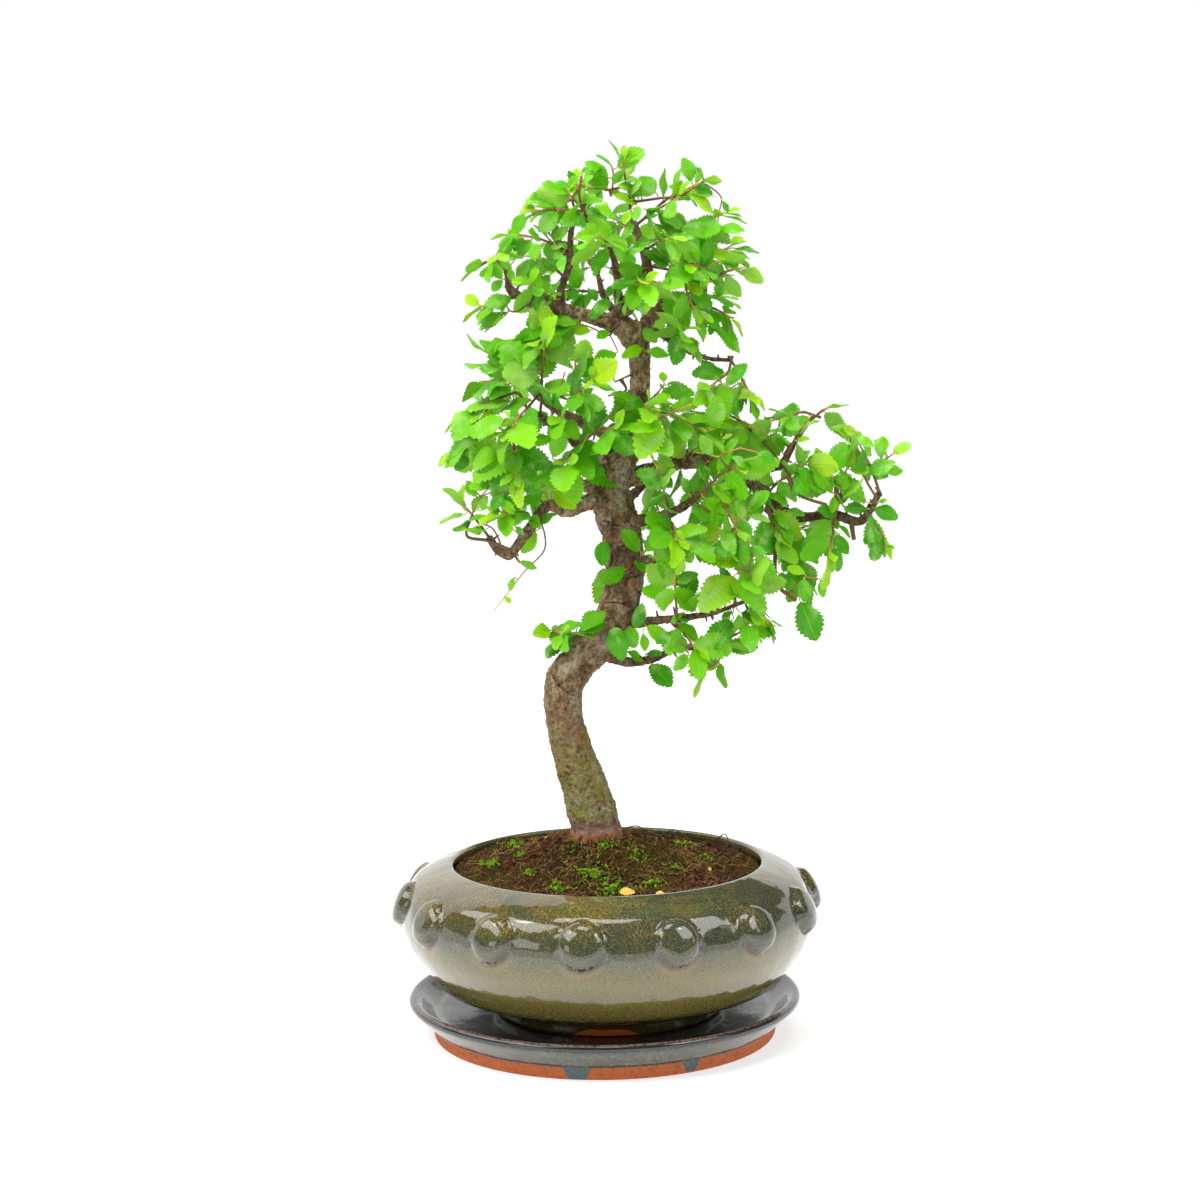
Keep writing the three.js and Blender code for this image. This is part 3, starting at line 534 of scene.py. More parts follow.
limbs = {
    "leftLimb": ((4, 1.7), [(9, 4, 276), (-3, -2, 285), (-10, -6, 290), (-16, -10, 296), (-23, -14, 300),
                            (-33, -18, 306)]),
    "leftBack": ((3.4, 1.5), [(14, 6, 288), (3, 14, 292), (-8, 23, 297), (-19, 32, 302), (-31, 36, 310)]),
    "upperLeft": ((4, 1.2), [(17, 4, 341), (2, 2, 347), (-13, -2, 351), (-31, -6, 356), (-40, -9, 362),
                             (-41, -10, 370), (-46, -11, 376)]),
    "upperLeftRise": ((2.3, 1.2), [(-16, -2, 351), (-16, -5, 362), (-12, -9, 372), (-11, -12, 387),
                                   (-8, -12, 397)]),
    "crown": ((4.8, 1.3), [(18, 4, 338), (11, 2, 347), (17, 0, 355), (24, 0, 361), (25, 1, 369), (22, 2, 383),
                           (17, 3, 397)]),
    "crownRight": ((3.6, 1.3), [(19, 5, 336), (25, 10, 345), (31, 14, 353), (35, 19, 362), (38, 25, 372)]),
    "crownForward": ((2.6, 1.2), [(29, 12, 349), (36, 8, 351), (44, 4, 353), (51, 0, 357), (52, -4, 364)]),
    "crownLow": ((2, 1), [(20, 6, 343), (30, 2, 340), (40, -2, 333), (53, -5, 328), (64, -7, 327)]),
    "crownLight": ((2.2, 1.1), [(12, 2, 348), (11, -5, 357), (10, -10, 371), (6, -14, 383), (-1, -16, 392)]),
    "crownBack": ((2.6, 1.1), [(17, 4, 341), (10, 14, 349), (4, 24, 358), (1, 31, 370)]),
    "rightMid": ((3.4, 1.6), [(10, 5, 248), (19, -6, 251), (30, -14, 254), (40, -21, 259), (48, -27, 266)]),
    "farRight": ((4, 1.7), [(9, 6, 269), (28, 12, 274), (45, 14, 278), (60, 12, 275), (78, 9, 266),
                            (84, 7, 257), (97, 5, 251), (112, 3, 252), (126, 1, 249), (131, 0, 256),
                            (135, 0, 263)]),
    "knob": ((2.6, 1.1), [(72, 10, 269), (80, 6, 274), (88, 4, 276), (92, 3, 283), (98, 0, 293),
                          (104, -1, 300)]),
    "backLimb": ((3.6, 1.3), [(9, 6, 253), (14, 22, 258), (24, 36, 266), (38, 46, 275)]),
    "backLeft": ((3, 1.2), [(7, 6, 262), (-6, 20, 266), (-20, 32, 270), (-33, 40, 278)]),
    "lowRight": ((2.6, 1), [(9, 2, 199), (26, -6, 203), (39, -12, 205), (54, -17, 208), (70, -20, 214)]),
    "lowest": ((2.8, 1), [(-2, 2, 188), (12, 10, 181), (25, 16, 181), (40, 20, 186), (58, 23, 184),
                          (78, 26, 185)]),
    "lowBack": ((2.8, 1.1), [(10, 2, 212), (6, 18, 216), (10, 32, 222), (18, 44, 226)]),
    "stub": ((2.2, 1.2), [(12, 3, 233), (21, -5, 233), (27, -9, 230), (29, -10, 221), (30, -12, 213)]),
    "leftLow": ((3.8, 1.7), [(8, 4, 259), (-3, -7, 261), (-15, -11, 257), (-23, -14, 260), (-34, -18, 247),
                             (-43, -18, 237), (-48, -18, 240), (-52, -18, 246)]),
}

# Roots: where they start at the trunk, and the end and first radius of each
root_start = (-3, 16, 94)
root_ends = [((-27, 12, 85), 4.2), ((-13, -8, 87), 4.4), ((10, -4, 87), 3.8), ((20, 21, 85), 4.2),
             ((-2, 40, 84), 4.4)]

# Rings where the bark swells or pinches: height on the trunk, swell and half width
trunk_rings = [
    (300, 0.8, 2.0), (286, -0.6, 2.2), (262, 0.5, 2.5), (228, 0.6, 1.8), (214, -0.7, 1.6), (209, 0.9, 1.8),
    (196, 0.7, 2.4), (182, -0.5, 2.0), (163, 0.4, 2.2), (107, 0.5, 2.0), (100, -0.7, 1.6),
]

# Dark scars of old wires and cuts: pixel of the middle, direction across, half width and reach in millimetres
trunk_scars = [
    ((553, 676), (0.87, 0.1, 0.49), 0.4, 3.8), ((560, 686), (0.79, 0.1, 0.61), 0.45, 3.8),
    ((566, 692), (0.65, 0.1, 0.76), 0.42, 3.6), ((573, 695.5), (0.22, 0, 0.97), 0.38, 3.4),
    ((618, 603), (0.04, 0, 1), 0.45, 9), ((634, 577), (-0.35, 0, 1), 0.5, 5),
    ((624, 572), (0.2, 0, 1), 0.4, 5), ((640, 592), (0.8, 0, 0.6), 0.35, 4),
    ((630, 545), (-0.2, 0, 1), 0.4, 6), ((612, 524), (0.25, 0, 1), 0.4, 6), ((638, 470), (0.1, 0, 1), 0.4, 5),
]
# Healed cuts, a little proud with a sunken middle: pixel and radius
trunk_cuts = [((568, 768), 1.7), ((563, 661), 1.8), ((634, 583), 2.0), ((620, 540), 1.8)]

trunk_step = 1.5
limb_step = 1.2
root_tip_radius = 1.2
root_dip = 3.2
limb_flare = 0.22
wood_voxel = 0.8
thick_stem = 6
thick_sides, thin_sides = 18, 12
# Only stems thinner than this, which also start above this height, carry spurs: the limbs and no root
limb_thickest = 5.5
limb_lowest = 120
# How many pixels off is as bad as a millimetre further back, for a spot on the trunk and for a carrier
surface_depth_weight = 0.5
carrier_depth_weight = 0.25


# The bark's relief: how closely lumps, plates, grit and pores repeat across and up, per millimetre
lump_grain = (0.09, 0.09, 0.07)
plate_grain = (0.36, 0.36, 0.24)
grit_grain = (0.5, 0.5, 0.6)
pore_grain = (0.55, 0.55, 1.1)
pore_level = 0.22
plate_middle = 0.75
# Heights in millimetres between which the bark grows smooth down at the collar, and coarse up at the crown
smooth_heights = (106, 96)
coarse_heights = (235, 200)
coarse_crown, coarse_trunk = 1.5, 0.75
# How far lumps, grit and pores, and scars, healed rims and cuts, go in or out, and the whole skin in
lump_rise, grit_rise, pore_rise = 0.6, 0.45, 1.1
scar_depth, rim_rise, cut_depth, skin_depth = 0.8, 0.7, 0.5, 0.05
# Radii between which a stem's bark turns from a twig's to a trunk's, and the radius of full relief
twig_bark_radii = (1.8, 5.5)
full_relief_radius = 4.5


def wood_stems(rng):
    """Every stem of the wood as its path and radii."""
    stems = []
    axis = np.array(trunk_axis, float)
    path, place = smooth_path(axis[:, :3], trunk_step)
    radii = np.interp(place * (len(axis) - 1), np.arange(len(axis)), axis[:, 3])
    for height, swell, width in trunk_rings:
        radii = radii + swell * np.exp(-((path[:, 2] - height) / width) ** 2)
    stems.append((path, radii))
    for end, radius in root_ends:
        start, end = np.array(root_start, float), np.array(end, float)
        middle = lerp(start, end, 0.55)
        middle[2] = root_start[2] - root_dip
        path, place = smooth_path([start, middle, end], trunk_step)
        stems.append((path, lerp(radius, root_tip_radius, place)))
    for (first, last), points in limbs.values():
        path, place = smooth_path(points, limb_step)
        radii = lerp(first, last, place)
        radii = radii * (1 + limb_flare * np.exp(-(place / 0.12) ** 2))
        for knot in range(len(points)):
            swell = rng.uniform(0.05, 0.22)
            radii = radii * (1 + swell * np.exp(-((place * (len(points) - 1) - knot) / 0.22) ** 2))
        stems.append((path, radii))
    return stems


def ridged(p):
    """Noise with sharp ridges, where it is near 1."""
    return 1 - abs(noise.fractal(Vector(p), 0.7, 2.1, 3))


def on_surface(pixel, surface):
    """The nearest of a surface's points to the camera among those that show at a pixel."""
    away = np.linalg.norm(on_photo(surface) - np.array(pixel, float), axis=1)
    return surface[int(np.argmin(away + surface_depth_weight * surface[:, 1]))]


def joined_wood(stems):
    """One skin over all the stems, as a mesh."""
    shell = Shell()
    for path, radii in stems:
        shell.add(*tube(path, radii, thick_sides if radii.max() > thick_stem else thin_sides))
    rough = shown("wood_rough", shell.mesh("wood_rough"))
    remesh = rough.modifiers.new("remesh", "REMESH")
    remesh.mode = "VOXEL"
    remesh.voxel_size = wood_voxel * MM
    smooth = rough.modifiers.new("smooth", "SMOOTH")
    smooth.factor = 0.5
    smooth.iterations = 2
    mesh = bpy.data.meshes.new_from_object(rough.evaluated_get(bpy.context.evaluated_depsgraph_get()))
    bpy.data.objects.remove(rough)
    return mesh


def scars_and_cuts(co):
    """How deep in a scar, on a healed cut's rim and in its middle each point of the wood is, from 0 to 1."""
    scars, rims, cuts = np.zeros(len(co)), np.zeros(len(co)), np.zeros(len(co))
    for pixel, way, half, reach in trunk_scars:
        offset = co - on_surface(pixel, co)
        wander = 0.25 * np.sin(offset[:, 0] * 0.9 + offset[:, 2] * 0.7)
        near = np.exp(-(np.linalg.norm(offset, axis=1) / reach) ** 4)
        scars = np.maximum(scars, near * np.exp(-((offset @ unit(way) + wander) / half) ** 2))
    for pixel, radius in trunk_cuts:
        away = np.linalg.norm(co - on_surface(pixel, co), axis=1)
        cuts = np.maximum(cuts, smoothstep(radius, radius * 0.6, away))
        rims = np.maximum(rims, np.exp(-((away - radius) / (0.4 * radius)) ** 2))
    return scars, rims, cuts


def vertex_vectors(mesh, what):
    values = np.zeros(len(mesh.vertices) * 3)
    mesh.vertices.foreach_get(what, values)
    return values.reshape(-1, 3)


def build_wood(stems, bark):
    """The trunk and its limbs, rough with plates, pores, scars and healed cuts."""
    mesh = joined_wood(stems)
    tree = kdtree.KDTree(sum(len(path) for path, _ in stems))
    local = []
    for path, radii in stems:
        for point, radius in zip(path, radii):
            tree.insert(point * MM, len(local))
            local.append(radius)
    tree.balance()
    co, normals = vertex_vectors(mesh, "co") / MM, vertex_vectors(mesh, "normal")
    scars, rims, cuts = scars_and_cuts(co)
    moved = np.zeros(len(co))
    marks = np.zeros((len(co), 3))
    for i, p in enumerate(co):
        radius = local[tree.find(p * MM)[1]]
        size = min(1.0, radius / full_relief_radius)
        lumps = noise.fractal(Vector(p * lump_grain), 0.8, 2.0, 2)
        plates = ridged(p * plate_grain)
        grit = noise.noise(Vector(p * grit_grain))
        pores = max(0.0, noise.noise(Vector(p * pore_grain + 7)) - pore_level)
        smooth_low = 1 - 0.6 * float(smoothstep(*smooth_heights, p[2]))
        down = float(smoothstep(*coarse_heights, p[2])) * min(1.0, radius / 7)
        coarse = lerp(coarse_crown, coarse_trunk, down)
        rough = smooth_low * (coarse * (plates - plate_middle) + grit_rise * grit + pore_rise * pores)
        relief = size * (lump_rise * lumps + rough)
        moved[i] = relief - scar_depth * scars[i] + rim_rise * rims[i] - cut_depth * cuts[i] - skin_depth
        # crevice_shade says how deep a point lies in a crevice of the relief, for the painted shade there
        thin, crevice_shade = 1 - smoothstep(*twig_bark_radii, radius), smoothstep(-0.05, -0.35, rough)
        marks[i] = (thin, scars[i] - 0.6 * rims[i], crevice_shade)
    co += normals * moved[:, None]
    mesh.vertices.foreach_set("co", (co * MM).ravel())
    add_vectors(mesh, "marks", marks)
    mesh.update()
    mesh.name = "trunk_and_limbs"
    piece("trunk_and_limbs", mesh, [bark], replaced=["trunk"])


# Leaves, read from the solids of each spray

# In a solid leaf the crests of its two faces are a blade's thickness apart, each has a ring of neighbours,
# and the tip droops by a share of the length
crest_span = 1.2
crest_neighbours = (12, 14)
leaf_droop = 0.13


def welded(node):
    """A node's points in millimetres, with equal places joined, and its triangles."""
    mesh = frame["nodes"][node].data
    mesh.calc_loop_triangles()
    co = np.zeros(len(mesh.vertices) * 3, np.float32)
    mesh.vertices.foreach_get("co", co)
    tri = np.zeros(len(mesh.loop_triangles) * 3, np.int32)
    mesh.loop_triangles.foreach_get("vertices", tri)
    points, index = np.unique(np.round(co.reshape(-1, 3).astype(float) / MM, 3), axis=0, return_inverse=True)
    return points, index.reshape(-1)[tri].reshape(-1, 3)


def round_point(triangles, count):
    """For each point, the ring of its neighbours in order."""
    after = [{} for _ in range(count)]
    for a, b, c in triangles:
        after[a][b], after[b][c], after[c][a] = c, a, b
    rings = []
    for following in after:
        ring = []
        here = next(iter(following), None)
        while here is not None and here not in ring:
            ring.append(here)
            here = following.get(here)
        rings.append(ring)
    return rings


def find_leaves(points, rings):
    """Each leaf's base, forward, normal and length. A leaf is the ring round two crests."""
    crests = [i for i, ring in enumerate(rings) if len(ring) in crest_neighbours]
    found = []
    for k, a in enumerate(crests):
        for b in crests[k + 1:]:
            if abs(np.linalg.norm(points[a] - points[b]) - crest_span) > 0.02:
                continue
            only_a = set(rings[a]) - set(rings[b])
            only_b = set(rings[b]) - set(rings[a])
            if len(only_a) != 1 or len(only_b) != 1:
                continue
            ring = rings[a]
            over = only_a.pop()
            base = (points[over] + points[only_b.pop()]) / 2
            tip = points[ring[(ring.index(over) + len(ring) // 2) % len(ring)]]
            normal = unit(points[a] - points[b])
            if np.dot(tip - base, normal) > 0:
                normal = -normal
            length = np.linalg.norm(tip - base) / math.hypot(1, leaf_droop)
            forward = unit(tip - base + leaf_droop * length * normal)
            found.append({"base": base, "forward": forward, "normal": normal, "length": length,
                          "point": over})
    return found


def distances(points, rings, starts):
    """Length of the shortest way along the edges from any of the starts to every point."""
    best = np.full(len(points), np.inf)
    queue = [(0.0, s) for s in starts]
    for s in starts:
        best[s] = 0
    while queue:
        d, i = heapq.heappop(queue)
        if d > best[i]:
            continue
        for j in rings[i]:
            step = d + np.linalg.norm(points[i] - points[j])
            if step < best[j]:
                best[j] = step
                heapq.heappush(queue, (step, j))
    return best


def shoots_of(node, wood):
    """A spray's shoots, each with its start, its leaves in order and whether it grows from the limb."""
    points, triangles = welded(node)
    rings = round_point(triangles, len(points))
    leaves = find_leaves(points, rings)
    gaps = [wood.find_nearest(Vector(p * MM))[3] / MM for p in points]
    near = [i for i, gap in enumerate(gaps) if gap < min(gaps) + 0.1]
    root = points[near].mean(0)
    from_root = distances(points, rings, near)
    for leaf in leaves:
        leaf["far"] = from_root[leaf["point"]]
    leaves.sort(key=lambda leaf: leaf["far"])
    for i, leaf in enumerate(leaves):
        ways = distances(points, rings, [leaf["point"]])
        earlier = [(ways[other["point"]], j) for j, other in enumerate(leaves[:i])]
        earlier.append((leaf["far"] + 0.01, None))
        leaf["parent"] = min(earlier, key=lambda e: e[0])[1]
    shoots = []
    used = set()
    for i in reversed(range(len(leaves))):
        if i in used:
            continue
        chain = []
        here = i
        while here is not None and here not in used:
            chain.append(here)
            used.add(here)
            here = leaves[here]["parent"]
        start = root if here is None else leaves[here]["base"]
        members = [leaves[j] for j in reversed(chain)]
        shoots.append({"start": start, "leaves": members, "main": here is None})
    return shoots


# Fine leaves: rows follow the side veins, one vein to a tooth, from the midrib to the edge

# Teeth on each side of a blade, and the length in millimetres under which a leaf is small
teeth = {"large": 9, "small": 6}
small_leaf = 10.5
tooth_foot = 0.04
toothed_share = 0.9
notch_depth = -0.14
tooth_reach = 0.08
blade_growth = 1.05
across = np.array([-1, -0.68, -0.34, 0, 0.34, 0.68, 1.0])
stalk_share = 0.09
blade_half_width = 0.315


def leaf_rows(count):
    """Each row's place along the edge, its reach out to the side and its place in the vein pattern."""
    rows = []
    for tooth in range(count):
        notch = tooth_foot + toothed_share * tooth / count
        peak = tooth_foot + toothed_share * (tooth + 0.66) / count
        rows.append((notch, notch_depth if tooth else 0.0, tooth + 0.5))
        rows.append((peak, tooth_reach, tooth + 1.0))
    return np.array(rows)


def blade_faces(rows):
    """Faces of the upper and under sides. They share the edge, the base row and the tip."""
    wide = len(across)
    count = len(rows) + 1
    tip = count * wide
    under = {}
    for r in range(1, count):
        for c in range(1, wide - 1):
            under[r, c] = tip + 1 + (r - 1) * (wide - 2) + c - 1

    def lower(r, c):
        return under.get((r, c), r * wide + c)

    top, bottom = [], []
    for r in range(count - 1):
        for c in range(wide - 1):
            a, b = r * wide + c, r * wide + c + 1
            top.append([a, a + wide, b + wide, b])
            bottom.append([lower(r, c), lower(r, c + 1), lower(r + 1, c + 1), lower(r + 1, c)])
    last = count - 1
    for c in range(wide - 1):
        top.append([last * wide + c, tip, last * wide + c + 1])
        bottom.append([lower(last, c), lower(last, c + 1), tip])
    return top, bottom


blade_rows = {size: leaf_rows(count) for size, count in teeth.items()}
blade_sides = {size: blade_faces(rows) for size, rows in blade_rows.items()}


def blade_size(leaf):
    return "small" if leaf["length"] < small_leaf else "large"


# Limits between which blades differ, drawn in this order: fold along the middle, droop as a share of the
# usual one, sideways bend, twist, lopsidedness, width, start of the edge's wave, height of the quilting
# between veins as a share of the length, and where the blade is widest
blade_limits = [(0.06, 0.42), (0.5, 1.6), (-0.1, 0.1), (-0.35, 0.35), (-0.05, 0.05), (0.88, 1.22), (0, 6.28),
                (0.011, 0.022), (0.86, 1.12)]


def blade(leaf, rng):
    """The points and marks of one fine leaf blade."""
    rows = blade_rows[blade_size(leaf)]
    length = leaf["length"] * blade_growth
    start = stalk_share * length
    run = length - start
    drawn = [rng.uniform(*limits) for limits in blade_limits]
    fold, droop, bend, twist, uneven, plumpness, wave_turn, quilt, wide_at = drawn
    half = blade_half_width * run * plumpness
    edge = rows[:, 0]
    shape = np.sin(math.pi * edge ** wide_at) ** 0.66 * (1 - 0.1 * edge ** 4)
    reach = half * shape + rows[:, 1] * half * 0.9
    rib = edge - 0.085 * np.sin(math.pi * edge)
    side = across[None, :]
    near = np.abs(side)
    place = rib[:, None] + (edge - rib)[:, None] * near ** 1.15 + uneven * side * (1 - edge[:, None])
    x = start + run * place
    y = side * reach[:, None] * (1 + uneven * side)
    vein = np.where(rows[:, 2] % 1 < 0.25, -1.0, 1.0)[:, None]
    cup = fold * np.abs(y) * (1 - 0.35 * near)
    ripple = 0.05 * length * near ** 2 * np.sin(9 * edge[:, None] + wave_turn + 1.9 * np.sign(side))
    z = cup + ripple * 0.6 + quilt * length * vein * near * (1.15 - near) * 1.4
    base_row = np.stack([np.full(len(across), start), across * 0.4, 0.02 * np.abs(across)], 1)
    top = np.stack([x, y, z], 2).reshape(-1, 3)
    tip = np.array([[length, 0.0, 0.0]])
    inner = np.stack([x, y, z], 2)[:, 1:-1]
    thick = 0.24 * (1 - 0.5 * np.abs(across[1:-1])) + np.where(np.abs(across[1:-1]) < 0.05, 0.24, 0.0)
    inner = inner - np.stack([0 * thick, 0 * thick, thick], 1)[None]
    points = np.vstack([base_row, top, tip, inner.reshape(-1, 3)])
    share = points[:, 0] / length
    turn = twist * share
    y0, z0 = points[:, 1].copy(), points[:, 2].copy()
    points[:, 1] = y0 * np.cos(turn) - z0 * np.sin(turn) + bend * length * share ** 2
    points[:, 2] = y0 * np.sin(turn) + z0 * np.cos(turn) - leaf_droop * droop * length * share ** 2
    wide = len(across)
    row_marks = np.concatenate([np.full(wide, 0.0), np.repeat(rows[:, 2], wide), [rows[-1, 2] + 0.5],
                                np.repeat(rows[:, 2], wide - 2)])
    side_marks = np.concatenate([across, np.tile(across, len(rows)), [0.0],
                                 np.tile(across[1:-1], len(rows))])
    marks = np.stack([row_marks, side_marks, np.full(len(points), leaf["age"])], 1)
    return points, marks


def placed(points, leaf):
    """Points of a blade, taken to where its leaf is."""
    forward, normal = leaf["forward"], leaf["normal"]
    side = np.cross(normal, forward)
    return leaf["base"] + points @ np.array([forward, side, normal])


stalk_radii = (0.36, 0.22)
short_stalk = 7


def add_leaf(shell, leaf, rng):
    """A blade with its two sides' paints and its stalk. Short stalks are greener."""
    points, marks = blade(leaf, rng)
    top, under = blade_sides[blade_size(leaf)]
    shell.add(placed(points, leaf), top + under, [0] * len(top) + [1] * len(under), marks)
    start = stalk_share * blade_growth * leaf["length"]
    foot = leaf["foot"]
    seat = placed([[start * 1.3, 0, -0.05]], leaf)[0]
    path, place = smooth_path([foot, leaf["base"] + 0.25 * start * leaf["forward"], seat], 0.9)
    young = 0.9 if np.linalg.norm(seat - foot) < short_stalk else 0.7
    shell.add(*tube(path, lerp(*stalk_radii, place), 5), kind=2, marks=[0, 0, young])


sample_shares = (0.35, 0.65, 0.95)


def leaf_samples(leaf):
    """Points along a leaf's middle, to test its room."""
    return [leaf["base"] + share * leaf["length"] * leaf["forward"] for share in sample_shares]


class Room:
    """What is already there, as points. New leaves go where the most room is."""

    def __init__(self):
        self.points = []

    def add(self, leaf):
        self.points += leaf_samples(leaf)

    def free(self, leaf):
        there = np.array(self.points)
        return min(np.min(np.linalg.norm(there - p, axis=1)) for p in leaf_samples(leaf))


crown_axis = 8.0
leaf_turns = (0, 0.4, -0.4, 0.8, -0.8, 1.3, -1.3)
turn_dislike = 1.2
edge_dislike = 0.8
room_enough = 6.0
lowest_room = -1.5
sunny_side = np.array([0.0, -1.0, 0.0])


def new_leaf(origin, along, side_sign, length, rng, room, age, spread=(0.7, 1.15)):
    """A leaf that looks upward and outward, in the freest of a few turns about its twig."""
    outward = unit([origin[0] - crown_axis, origin[1], 0])
    facing = unit(np.array([rng.uniform(-0.5, 0.5), rng.uniform(-0.5, 0.5), rng.uniform(0.4, 1.4)])
                  + outward * rng.uniform(0.3, 1.1) + sunny_side * rng.uniform(0.1, 0.9))
    side = unit(np.cross(facing, along)) * side_sign
    angle = rng.uniform(*spread)
    sag = rng.uniform(0.05, 0.5)
    best, most = None, lowest_room
    for turn in leaf_turns:
        aside = spun(side, along, turn)
        forward = unit(along * math.cos(angle) + aside * math.sin(angle) - UP * sag)
        normal = unit(facing - forward * np.dot(facing, forward))
        leaf = {"base": origin + aside * 0.4, "foot": origin, "forward": forward, "normal": normal,
                "length": length, "age": age}
        free = min(room.free(leaf), room_enough) - turn_dislike * abs(turn)
        free = free - edge_dislike * outside_crown(leaf_samples(leaf)[-1])
        if free > most:
            best, most = leaf, free
    if best:
        room.add(best)
    return best


twig_radii = (0.8, 0.3)
twig_root = 2.6
twig_growth = (1.5, 3.5)
# Between two of the solids' leaves, one leaf more comes from the first gap on, and two from the second
gaps_for_more = (4.5, 13)
tip_leaf_length = (6.0, 10.5)
# How many pixels a shoot's end, or a leaf's tip, may show outside the crown's edge, and how it is shortened
shoot_outside, shoot_shorter = 3, 0.82
leaf_outside, leaf_shorter = 4, 0.86


def shoot_axis(shoot, inward):
    """Points of a shoot's axis: it zigzags a little from leaf to leaf."""
    nodes = np.array([shoot["start"]] + [leaf["base"] for leaf in shoot["leaves"]])
    ways = np.gradient(nodes, axis=0)
    axis = [nodes[0]]
    for way, leaf in zip(ways[1:], shoot["leaves"]):
        way = unit(way)
        aim = leaf["forward"] - way * np.dot(leaf["forward"], way)
        axis.append(leaf["base"] - 0.5 * aim)
    if inward:
        axis.insert(0, axis[0] - unit(axis[1] - axis[0]) * inward)
    return np.array(axis)


def limb_carriers(stems):
    """The carriers that the trunk and the limbs make."""
    carriers = Carriers()
    for path, radii in stems:
        carriers.points += list(path)
        carriers.radii += list(radii)
        if radii.max() < limb_thickest and path[0][2] > limb_lowest:
            along = np.gradient(path, axis=0)
            carriers.limb_points += list(zip(path, radii, along))
    return carriers


def draw_in(shoot):
    """Shorten a shoot, and its leaves, where they would show outside the crown's edge."""
    for _ in range(2):
        if outside_crown(shoot["leaves"][-1]["base"]) < shoot_outside:
            break
        for leaf in shoot["leaves"]:
            leaf["base"] = lerp(shoot["start"], leaf["base"], shoot_shorter)
    for leaf in shoot["leaves"]:
        for _ in range(2):
            if outside_crown(leaf_samples(leaf)[-1]) > leaf_outside:
                leaf["length"] *= leaf_shorter


def leaves_between(shoot, axis, first, rng, room):
    """More leaves along the stretches of a shoot's axis that are bare."""
    leaves = shoot["leaves"]
    for k in range(1, len(axis)):
        gap = np.linalg.norm(axis[k] - axis[k - 1])
        more = sum(gap >= wide for wide in gaps_for_more)
        for m in range(more):
            share = (m + 1) / (more + 1) + rng.uniform(-0.08, 0.08)
            if k < first + 1 and share < 0.45:
                continue
            origin = lerp(axis[k - 1], axis[k], share)
            along = unit(axis[k] - axis[k - 1])
            size = rng.uniform(0.62, 0.95) * leaves[min(max(k - first, 0), len(leaves) - 1)]["length"]
            age = float(np.clip(rng.gauss(0.6, 0.25), 0, 1))
            yield new_leaf(origin, along, rng.choice((-1, 1)), size, rng, room, age)


def dress_spray(node, index, shoots, room, paints):
    """The fine twigs and leaves that stand for one spray."""
    rng = random.Random(500 + index)
    shell = Shell()
    leaves = []
    for shoot in shoots:
        draw_in(shoot)
        axis = shoot_axis(shoot, twig_root if shoot["main"] else 0.0)
        count = len(shoot["leaves"])
        first = len(axis) - count
        for k, leaf in enumerate(shoot["leaves"]):
            leaf["foot"] = axis[first + k]
            leaf["age"] = float(np.clip(rng.gauss(0.62, 0.24) - 0.3 * (k == count - 1), 0, 1))
            leaves.append(leaf)
        leaves += leaves_between(shoot, axis, first, rng, room)
        tip, along = axis[-1], unit(axis[-1] - axis[-2])
        last = shoot["leaves"][-1]
        reach = tip + unit(along + 0.5 * last["normal"]) * rng.uniform(*twig_growth)
        for sign in (-1, 1):
            origin = lerp(tip, reach, 0.5 if sign < 0 else 1.0)
            size = rng.uniform(*tip_leaf_length)
            age = rng.uniform(0.0, 0.25)
            leaves.append(new_leaf(origin, unit(reach - tip), sign, size, rng, room, age, (0.35, 0.8)))
        path, place = smooth_path(np.vstack([axis, reach]), 1.2)
        radii = lerp(twig_radii[0] * (1.0 if shoot["main"] else 0.8), twig_radii[1], place)
        knots = np.min(np.linalg.norm(path[:, None] - axis[None, first:], axis=2), axis=1)
        radii = radii * (1 + 0.35 * np.exp(-(knots / 0.9) ** 2))
        points, faces = tube(path, radii, 6)
        young = np.concatenate([np.repeat(place, 6), [0, 1]])
        shell.add(points, faces, 2, np.stack([young, young, young ** 1.2], 1))
    for leaf in filter(None, leaves):
        add_leaf(shell, leaf, rng)
    piece("leafy_" + node, shell.mesh("leafy_" + node), paints, replaced=[node], sharp=60)


spray_twig_radii = (0.6, 0.6)


def build_sprays(paints, carriers):
    """Dress every spray, and add its twigs to the carriers."""
    points, triangles = welded("trunk")
    wood = bvhtree.BVHTree.FromPolygons([Vector(p * MM) for p in points], triangles.tolist())
    names = sorted(n for n in frame["nodes"] if n.startswith("spray"))
    shoots = {n: shoots_of(n, wood) for n in names}
    room = Room()
    for name in names:
        for shoot in shoots[name]:
            for leaf in shoot["leaves"]:
                room.add(leaf)
    for index, name in enumerate(names):
        dress_spray(name, index, shoots[name], room, paints)
        for shoot in shoots[name]:
            carriers.add(shoot_axis(shoot, 0), spray_twig_radii)


# Twigs and leaves that the photograph shows one by one. Each is given by its pixels there.

class Carriers:
    """Points on stems and twigs, which carry what grows from them."""

    def __init__(self):
        self.points, self.radii, self.limb_points = [], [], []

    def add(self, path, radii):
        fine = smooth_path(path, 1.5)[0]
        self.points += list(fine)
        self.radii += list(np.interp(np.linspace(0, 1, len(fine)), np.linspace(0, 1, len(radii)), radii))

    def seen_at(self, pixel):
        """The carrier that shows nearest to a pixel, and its radius. One nearer to the camera is liked."""
        there = np.array(self.points)
        away = np.linalg.norm(on_photo(there) - np.asarray(pixel, float), axis=1)
        best = int(np.argmin(away + carrier_depth_weight * there[:, 1]))
        return there[best], self.radii[best]


